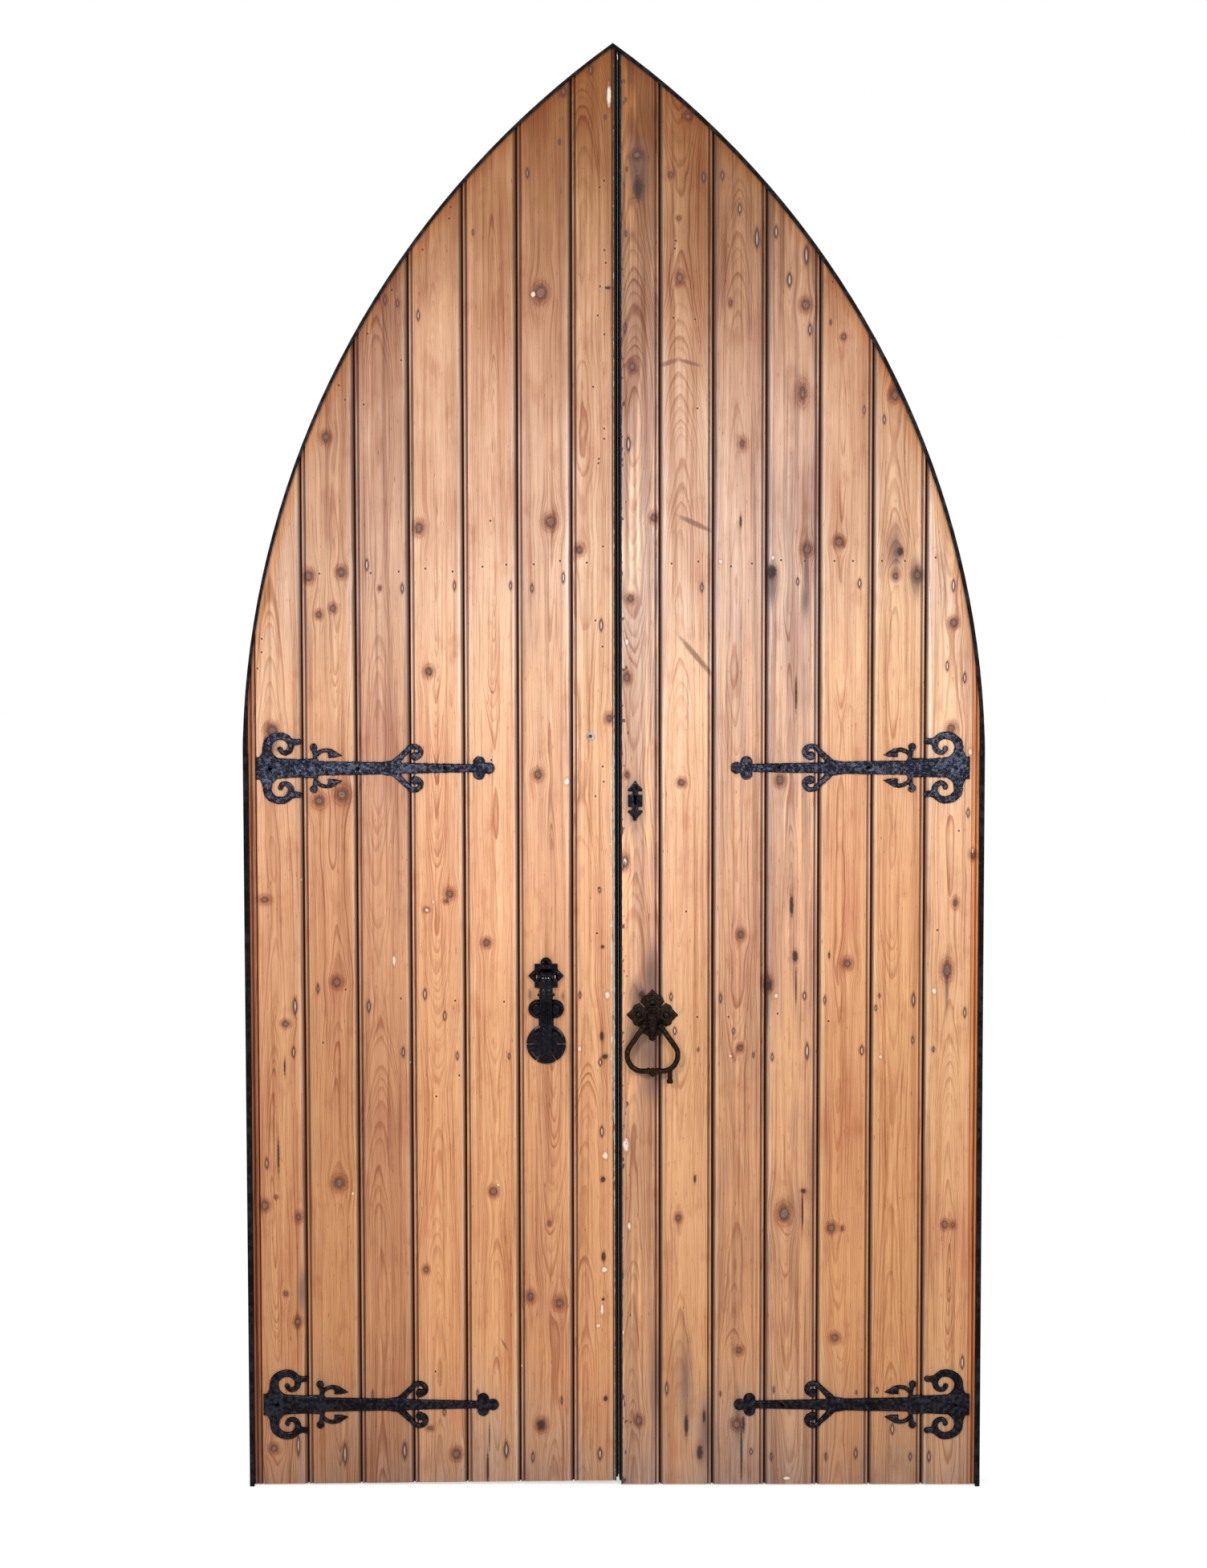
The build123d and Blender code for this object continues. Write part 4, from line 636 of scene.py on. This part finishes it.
def glass(name):
    net = Net(name)
    dust = net.noise(net.place, 900, 2)
    colour = net.mix(net.span(dust, 0.5, 0.8), (0.01, 0.012, 0.016), (0.05, 0.05, 0.05))
    rough = net.span(dust, 0.3, 0.8, 0.03, 0.2)
    return net.finish(Base_Color=colour, Roughness=rough, Specular_IOR_Level=0.6)


def dress(name, material):
    data = nodes[name].data
    data.materials.clear()
    data.materials.append(material)


HAMMERED = iron("hammered_iron", (0.011, 0.012, 0.019), (0.06, 0.07, 0.1), 0.2, 0.0052, 150, 0.08)
CAST = iron("cast_iron", (0.006, 0.006, 0.008), (0.022, 0.023, 0.03), 0.22, 0.0022, 110, 0.08)
POLISHED = iron("polished_black", (0.008, 0.008, 0.011), (0.017, 0.017, 0.021), 0.17, 0.0003, 160, 0.03)
WEATHERED = iron("weathered_iron", (0.011, 0.0075, 0.006), (0.028, 0.019, 0.0145), 0.26, 0.0014, 240, 0.2)
# Much lighter iron for the knocker's beads, as a painted highlight.
HIGHLIGHT_IRON = iron("highlight_iron", (0.1, 0.1, 0.11), (0.35, 0.36, 0.38), 0.2, 0.0002, 400, 0.1)
PAINT = iron("black_paint", (0.006, 0.006, 0.007), (0.016, 0.016, 0.019), 0.42, 0.0006, 70, 0.2)
STEEL = steel("worn_steel")
RUBBER = rubber("black_rubber")
GLASS = glass("viewer_glass")
UPRIGHT = framing_pine("framing_pine_upright", 3, 0)
LEVEL = framing_pine("framing_pine_level", 11, 90)
BRACE_LEFT = framing_pine("framing_pine_brace_left", 17, 40)
BRACE_RIGHT = framing_pine("framing_pine_brace_right", 23, -40)

for side, _ in SIDES:
    for number, name in enumerate(board_names(side), 1):
        dress(name, pine_board(side, number))
    for part in ("hanging_stile", "meeting_stile", "arch_rail"):
        dress(f"{side}_{part}", UPRIGHT)
    for place in LEDGES:
        dress(f"{side}_ledge_{place}", LEVEL)
    dress(f"{side}_braces", BRACE_LEFT if side == "left" else BRACE_RIGHT)
    dress(f"frame_jamb_{side}", PAINT)
    dress(f"frame_arch_{side}", PAINT)
    dress(f"pintles_{side}", WEATHERED)
    for level in LEVELS:
        dress(f"{side}_band_{level}", WEATHERED)
for name in ("lock_case", "lock_keeper", "latch_plate", "latch_bar", "latch_keeper", "foot_bolt_guide"):
    dress(name, WEATHERED)
for name in ("lock_bolt", "foot_bolt", "door_viewer", "knocker_pin"):
    dress(name, STEEL)


# Forged and cast pieces: the CAD solid with its edges rounded, crowned and worked.
def evaluated(piece):
    graph = bpy.context.evaluated_depsgraph_get()
    return bpy.data.meshes.new_from_object(piece.evaluated_get(graph))


def outline_tree(node, front, step=0.0008):
    """Points along the outline of a node's flat front face."""
    mesh = nodes[node].data
    places = []
    flat = {}
    for polygon in mesh.polygons:
        facing = polygon.normal.y < -0.99 and abs(polygon.center.y - front) < 1e-4
        for key in polygon.edge_keys:
            a, b = (tuple(round(c, 6) for c in mesh.vertices[i].co) for i in key)
            edge = (min(a, b), max(a, b))
            flat.setdefault(edge, []).append(facing)
    for (a, b), facings in flat.items():
        if facings.count(True) == 1 and abs(a[1] - front) < 1e-4 and abs(b[1] - front) < 1e-4:
            length = math.dist(a, b)
            count = max(1, int(length / step))
            for i in range(count + 1):
                share = i / count
                places.append((a[0] + (b[0] - a[0]) * share, a[2] + (b[2] - a[2]) * share))
    tree = KDTree(len(places))
    for i, (x, z) in enumerate(places):
        tree.insert((x, 0, z), i)
    tree.balance()
    return tree


def dents(x, y, z):
    """Height of the hammering at a place: coarse dents and a share of fine ones."""
    coarse, fine = (noise.noise((x * size, y * size, z * size)) for size in (130, 420))
    return coarse + 0.4 * fine


def forged(
    node, body, material, voxel, smooth=2, crown=None, rough=0, bosses=(), shape=None, swell=0,
):
    """Stands for a CAD node: same place and outline, with rounded and worked surfaces.

    The crown is its share of the thickness, its width and the y of the front and of the back. Bosses are
    x, z, radius and rise. The surface is roughened and swollen along its normals, by metres.
    """
    piece = bpy.data.objects.new(f"{node}_worked", nodes[node].data.copy())
    scene.collection.objects.link(piece)
    remesh = piece.modifiers.new("even", "REMESH")
    remesh.mode = "VOXEL"
    remesh.voxel_size = voxel
    softer = piece.modifiers.new("soft", "SMOOTH")
    softer.factor = 0.5
    softer.iterations = smooth
    mesh = evaluated(piece)
    piece.modifiers.clear()
    piece.data = mesh
    count = len(mesh.vertices)
    co = np.empty(count * 3)
    mesh.vertices.foreach_get("co", co)
    co = co.reshape(-1, 3)
    low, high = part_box(node)
    if crown:
        share, width, front, back = crown
        tree = outline_tree(node, front)
        inside = np.array([tree.find((x, 0, z))[2] for x, _, z in co])
        slope = 1 - np.clip(inside / width, 0, 1)
        profile = 1 - share + share * np.sqrt(np.clip(1 - slope**2, 0, 1))
        for x, z, radius, rise in bosses:
            reach = np.hypot(co[:, 0] - x, co[:, 2] - z) / radius
            profile += rise * np.sqrt(np.clip(1 - reach**2, 0, 1))
        co[:, 1] = back - (back - co[:, 1]) * profile
    if shape:
        shape(co)
    if rough or swell:
        normals = np.empty(count * 3)
        mesh.vertices.foreach_get("normal", normals)
        normals = normals.reshape(-1, 3)
        depth = np.array([dents(*place) for place in co])
        co += normals * (swell + depth * rough)[:, None]
    np.clip(co, tuple(low), tuple(high), out=co)
    mesh.vertices.foreach_set("co", co.ravel())
    mesh.polygons.foreach_set("use_smooth", [True] * len(mesh.polygons))
    mesh.materials.clear()
    mesh.materials.append(material)
    mesh.update()
    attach(piece, body)
    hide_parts(node)


# Hinge fronts in millimetres: x of a leaf's outer edge, how far each head lies inside it, and the bosses by
# their place along and across the strap from its head, their radius and their rise as a share.
LEAF_EDGE = 776
FRONT_INSETS = {"left_lower": 24, "left_upper": 21, "right_lower": 16, "right_upper": 25}
BOSSES = (
    (494, 0, 11, 0.35), (471, 12.6, 11, 0.35), (471, -12.6, 11, 0.35), (91, 56, 7, 0.3), (91, -56, 7, 0.3),
    (122, 44, 8.5, 0.4), (122, -44, 8.5, 0.4), (56, 45, 7, 0.3), (56, -45, 7, 0.3), (337, 25, 9, 0.35),
    (337, -25, 9, 0.35),
)
FRONT_SCREWS = (30, 215, 400)


def along_front(side, sign, level, steps):
    """x in metres at steps along a hinge front from its head."""
    head = sign * (LEAF_EDGE - FRONT_INSETS[f"{side}_{level}"]) * MM
    return [head - sign * step * MM for step in steps]


for side, sign in SIDES:
    for level in LEVELS:
        node = f"{side}_front_{level}"
        low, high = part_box(node)
        height = (low.z + high.z) / 2
        across = along_front(side, sign, level, [boss[0] for boss in BOSSES])
        places = [(x, height + v * MM, r * MM, rise) for x, (_, v, r, rise) in zip(across, BOSSES)]
        material, rough = (HAMMERED, 0.0011) if level == "upper" else (CAST, 0.0003)
        crown = (0.6, 0.006, low.y, high.y)
        forged(node, f"{side}_leaf", material, 0.0014, 2, crown, rough, places)

# Knocker: x of its middle, and heights of the disc, the lobes, the waist, the beads, the pin and the hood.
KNOCKER_X = -0.1437
DISC_Z = 0.957
LOBES_Z = 1.032
WAIST_Z = 1.083
BEADS_Z = 1.1015
KNOCKER_Z = 1.103
HOOD_Z = 1.123
PLATE_FACE = -0.036
HOOD_BACK = -0.04
ARM_BACK = -0.05
# Front of the ring's rose, and its nails' x and z.
ROSE_FACE = -0.035
ROSE_NAILS = ((0.0525, 1.0185), (0.1105, 1.0185), (0.0815, 1.0455))


def dome(co, chosen, middle_x, middle_z, radius, rise):
    """Raises the chosen points into a dome on the front."""
    x, y, z = co.T
    reach = np.hypot(x - middle_x, z - middle_z) / radius
    y -= np.where(chosen, rise * np.sqrt(np.clip(1 - reach**2, 0, 1)), 0)


def shape_knocker_plate(co):
    """Round lobes, a rolled hood, a lobed finial and a rim round the disc."""
    x, y, z = co.T
    face = y < PLATE_FACE + 0.0008
    across = x - KNOCKER_X
    lobes = face & (z < LOBES_Z + 0.028)
    for sign in (-1, 1):
        lobe_x = KNOCKER_X + sign * 0.018
        dome(co, lobes, lobe_x, LOBES_Z, 0.0195, 0.0085)
        reach = np.hypot(x - lobe_x, z - LOBES_Z)
        y += np.where(lobes, 0.003 * np.exp(-(((reach - 0.0125) / 0.0016) ** 2)), 0)
        dome(co, face, KNOCKER_X + sign * 0.0075, 1.1305, 0.0048, 0.003)
        dome(co, face, KNOCKER_X + sign * 0.031, KNOCKER_Z, 0.011, 0.003)
    dome(co, face, KNOCKER_X, 1.1365, 0.0052, 0.0035)
    reach = np.hypot(across, z - DISC_Z)
    rim = 0.0016 * np.exp(-(((reach - 0.037) / 0.0035) ** 2))
    y -= np.where(face & (reach < 0.043), rim, 0)
    height = (z - HOOD_Z) / 0.0078
    hood = (np.abs(height) < 1) & (np.abs(across) < 0.0145) & (y < HOOD_BACK)
    bulge = np.sqrt(np.clip(1 - height**2, 0, 1)) * np.sqrt(np.clip(1 - (across / 0.0175) ** 2, 0, 1))
    y[:] = np.where(hood, HOOD_BACK + (y - HOOD_BACK) * (0.35 + 0.65 * bulge), y)


def shape_knocker_arm(co):
    """Rounds the arm across its width and sinks a band for the beads."""
    x, y, z = co.T
    across = np.clip((x - KNOCKER_X) / 0.0147, -1, 1)
    round_front = ARM_BACK + (y - ARM_BACK) * (0.5 + 0.5 * np.sqrt(1 - across**2))
    band = 0.0026 * np.exp(-(((z - BEADS_Z) / 0.0045) ** 4))
    waist = 0.003 * np.exp(-(((z - WAIST_Z) / 0.004) ** 2))
    y[:] = np.where(y < ARM_BACK, round_front + band + waist, y)


forged(
    "ring_rose", "right_leaf", WEATHERED, 0.0008, 2, (0.55, 0.008, ROSE_FACE, FACE), 0.0003,
    [(x, z, 0.014, 0.3) for x, z in ROSE_NAILS],
)
forged("ring_spindle", "handle_spindle", WEATHERED, 0.0008, 2)
forged("ring_handle", "handle_ring", WEATHERED, 0.0009, 3, rough=0.0003, swell=0.0006)
forged("key_plate", "right_leaf", CAST, 0.0005, 2, (0.5, 0.004, -0.034, FACE), 0.0001)
forged("knocker_plate", "left_leaf", POLISHED, 0.0008, 2, shape=shape_knocker_plate)
forged("knocker_arm", "knocker_arm", POLISHED, 0.0006, 1, shape=shape_knocker_arm)


# Fasteners and small added pieces.
def piece_of(name, body, material, made):
    bmesh.ops.recalc_face_normals(made, faces=made.faces)
    mesh = bpy.data.meshes.new(name)
    made.to_mesh(mesh)
    made.free()
    mesh.polygons.foreach_set("use_smooth", [True] * len(mesh.polygons))
    mesh.materials.append(material)
    piece = bpy.data.objects.new(name, mesh)
    scene.collection.objects.link(piece)
    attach(piece, body)
    return piece


def turned(name, body, material, places, profile, facing, turns=20):
    """Turned heads on a flat face.

    The profile is radius and rise, from the rim to the middle. Facing is -1 for the front of the door.
    """
    made = bmesh.new()
    angles = [k * 2 * math.pi / turns for k in range(turns)]
    for x, y, z in places:
        last = None
        for radius, rise in profile:
            depth = y + facing * rise
            if radius == 0:
                top = made.verts.new((x, depth, z))
                for k in range(turns):
                    made.faces.new((last[k], last[(k + 1) % turns], top))
                break
            rim = [(x + radius * math.cos(angle), depth, z + radius * math.sin(angle)) for angle in angles]
            ring = [made.verts.new(place) for place in rim]
            if last:
                for k in range(turns):
                    made.faces.new((last[k], last[(k + 1) % turns], ring[(k + 1) % turns], ring[k]))
            else:
                made.faces.new(ring)
            last = ring
    return piece_of(name, body, material, made)


def domed(radius, rise, rings=5):
    """Profile of a round head."""
    turns = [i / rings * math.pi / 2 for i in range(rings)]
    return [(radius * math.cos(t), rise * math.sin(t)) for t in turns] + [(0, rise)]


def nut(radius, height):
    """Profile of a bolt head with a chamfer."""
    return [(radius, 0), (radius, height * 0.8), (radius * 0.85, height), (0, height)]


# Places in metres of the heads that stand on the iron and the wood.
ROSE_NAIL_FACE = -0.0348
BEAD_FACE = -0.0612
PIN_FACE = -0.0338
BEAD_STEP = 0.0058
KEY_PINS = (0.0454, 1.4745, 0.034)
VIEWER = (-0.0485, -0.0336, 1.611)
SCREW_FACE = -0.0358
BAND_BACK = 0.0378
BAND_HEIGHTS = (0.1775, 1.544)
PINTLE_X = 0.763
BAND_BOLTS = (60, 190, 330, 440)
LOCK_BACK = 0.0548
LOCK_SCREWS = ((0.0264, 0.1564), (1.4385, 1.5145))
# Nails clenched over the ledges: half the distance across, share of the ledge's height, and the least
# distances to the ledge's end and to the ironwork.
NAIL_STEP = 0.024
NAIL_SPREAD = 0.27
NAIL_END = 0.006
NAIL_CLEAR = 0.008


def clenched_places(side):
    """Two nails to a board and ledge, but for those that the ironwork on the back would cover."""
    ironwork = ("lock_case", "latch_plate", "latch_keeper", "latch_bar")
    ironwork += tuple(f"{side}_band_{level}" for level in LEVELS)
    boxes = [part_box(name) for name in ironwork]
    places = []
    for board in board_names(side):
        low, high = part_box(board)
        middle = (low.x + high.x) / 2
        for place in LEDGES:
            low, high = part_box(f"{side}_ledge_{place}")
            spread = (high.z - low.z) * NAIL_SPREAD
            for step_x, step_z in ((-1, 1), (1, -1)):
                x = middle + step_x * NAIL_STEP
                z = (low.z + high.z) / 2 + step_z * spread
                covered = any(
                    a.x - NAIL_CLEAR < x < b.x + NAIL_CLEAR and a.z - NAIL_CLEAR < z < b.z + NAIL_CLEAR
                    for a, b in boxes
                )
                if low.x + NAIL_END < x < high.x - NAIL_END and not covered:
                    places.append((x, BACK, z))
    return places


rose_nails = [(x, ROSE_NAIL_FACE, z) for x, z in ROSE_NAILS]
turned("rose_nails", "right_leaf", WEATHERED, rose_nails, domed(0.0076, 0.0052), -1)
beads = [(KNOCKER_X + step * BEAD_STEP, BEAD_FACE, BEADS_Z) for step in (-1, 0, 1)]
# The beads take the lighter iron, as a painted highlight.
turned("knocker_beads", "knocker_arm", HIGHLIGHT_IRON, beads, domed(0.0025, 0.0031), -1)
pin_x, pins_z, pin_step = KEY_PINS
pins = [(pin_x, PIN_FACE, pins_z + step * pin_step) for step in (-1, 1)]
turned("key_plate_pins", "right_leaf", CAST, pins, domed(0.0024, 0.0014), -1, 12)
turned("viewer_lens", "left_leaf", GLASS, [VIEWER], domed(0.0044, 0.0004), -1)

for side, sign in SIDES:
    leaf = f"{side}_leaf"
    screws = []
    for level in LEVELS:
        low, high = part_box(f"{side}_front_{level}")
        height = (low.z + high.z) / 2
        screws += [(x, SCREW_FACE, height) for x in along_front(side, sign, level, FRONT_SCREWS)]
    head = [(0.0048, 0), (0.0046, 0.0002), (0, 0.0002)]
    turned(f"{side}_front_screws", leaf, CAST, screws, head, -1)
    nails = clenched_places(side)
    turned(f"{side}_clenched_nails", leaf, STEEL, nails, domed(0.0042, 0.0011, 3), 1, 12)
    bolts = [(sign * (PINTLE_X - u * MM), BAND_BACK, z) for z in BAND_HEIGHTS for u in BAND_BOLTS]
    turned(f"{side}_band_bolts", leaf, WEATHERED, bolts, nut(0.0085, 0.0058), 1, 6)
lock_screws = [(x, LOCK_BACK, z) for x in LOCK_SCREWS[0] for z in LOCK_SCREWS[1]]
turned("lock_screws", "right_leaf", STEEL, lock_screws, domed(0.0042, 0.0014, 3), 1, 14)

# Strips in the gap between the leaves: y of the front and the back, and x of the two edges on each leaf.
SEAL_DEPTH = (0.015, 0.017)
SEALS = {"left": (0.0084, 0.00932), "right": (0.00947, 0.0104)}
SEAL_STEPS = 60


def meeting_seal(side):
    """Thin rubber strip in the gap between the stiles, clear of the other leaf when either swings alone."""
    made = bmesh.new()
    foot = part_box(f"{side}_meeting_stile")[0].z + 0.002
    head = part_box(f"{side}_arch_rail")[1].z - 0.012
    (low_x, high_x), (front, back) = SEALS[side], SEAL_DEPTH
    corners = ((low_x, front), (high_x, front), (high_x, back), (low_x, back))
    rows = []
    for i in range(SEAL_STEPS + 1):
        z = foot + (head - foot) * i / SEAL_STEPS
        rows.append([made.verts.new((x, y, z)) for x, y in corners])
    for a, b in zip(rows, rows[1:]):
        for k in range(4):
            made.faces.new((a[k], a[(k + 1) % 4], b[(k + 1) % 4], b[k]))
    made.faces.new(rows[0])
    made.faces.new(rows[-1])
    piece = piece_of(f"{side}_meeting_seal", f"{side}_leaf", RUBBER, made)
    piece.data.polygons.foreach_set("use_smooth", [False] * len(piece.data.polygons))


for side, _ in SIDES:
    meeting_seal(side)

# Floor, light and camera.
FLOOR_SIZE = 60
FLOOR_GREY = (0.86, 0.86, 0.86)
FLOOR_GLOW = 0.6
WHITE = (1, 1, 1)
WORLD_LIGHT = 0.45
floor_net = Net("pale_floor")
path = floor_net.node("ShaderNodeLightPath")
seen = Wire(floor_net, path.outputs["Is Camera Ray"]) + Wire(floor_net, path.outputs["Is Glossy Ray"])
floor_net.finish(
    Base_Color=FLOOR_GREY, Roughness=0.9, Emission_Color=WHITE, Emission_Strength=seen * FLOOR_GLOW,
)
bpy.ops.mesh.primitive_plane_add(size=FLOOR_SIZE, location=(0, 0, 0))
floor = bpy.context.object
floor.name = "floor"
floor.data.materials.append(floor_net.material)

world = bpy.data.worlds.new("studio")
scene.world = world
world.use_nodes = True
tree = world.node_tree
tree.nodes.clear()
light_path = tree.nodes.new("ShaderNodeLightPath")
output = tree.nodes.new("ShaderNodeOutputWorld")
background = tree.nodes.new("ShaderNodeBackground")
background.inputs["Color"].default_value = (*WHITE, 1)
total = light_path.outputs["Is Camera Ray"]
for name in ("Is Glossy Ray", "Is Transmission Ray"):
    larger = tree.nodes.new("ShaderNodeMath")
    larger.operation = "MAXIMUM"
    tree.links.new(total, larger.inputs[0])
    tree.links.new(light_path.outputs[name], larger.inputs[1])
    total = larger.outputs[0]
glow = tree.nodes.new("ShaderNodeMapRange")
glow.inputs["To Min"].default_value = WORLD_LIGHT
glow.inputs["To Max"].default_value = 1
tree.links.new(total, glow.inputs["Value"])
tree.links.new(glow.outputs[0], background.inputs["Strength"])
tree.links.new(background.outputs[0], output.inputs["Surface"])


def lamp(name, place, aim, size, power):
    """A lamp that shines from a place towards its aim; size in metres, power in watts."""
    data = bpy.data.lights.new(name, "AREA")
    data.shape = "RECTANGLE"
    data.size, data.size_y = size
    data.energy = power
    piece = bpy.data.objects.new(name, data)
    scene.collection.objects.link(piece)
    piece.location = place
    piece.rotation_euler = (Vector(aim) - Vector(place)).to_track_quat("-Z", "Y").to_euler()


lamp("key", (-2, -4.3, 3.4), (0, 0, 1.6), (0.8, 0.8), 100)
lamp("fill", (2.3, -4.6, 2.6), (0, 0, 1.5), (0.9, 1.2), 85)

# Camera: focal length and height of the picture in pixels, sensor in millimetres, the eye's place in metres
# and its turns in degrees: sideways, down and round the line of sight.
FOCAL_PIXELS = 4067.96
PHOTO_HEIGHT = 1954
SENSOR = 36
EYE = (0.01104, -6.9, 2.03839)
YAW, PITCH, ROLL = 0.271, 4.3982, -0.0843

eye = bpy.data.cameras.new("camera")
eye.sensor_width = SENSOR
eye.lens = FOCAL_PIXELS * SENSOR / PHOTO_HEIGHT
camera = bpy.data.objects.new("camera", eye)
scene.collection.objects.link(camera)
camera.matrix_world = (
    Matrix.Translation(EYE)
    @ Matrix.Rotation(math.radians(YAW), 4, "Z")
    @ Matrix.Rotation(math.radians(90 - PITCH), 4, "X")
    @ Matrix.Rotation(math.radians(ROLL), 4, "Z")
)
scene.camera = camera
scene.view_settings.view_transform = "Standard"
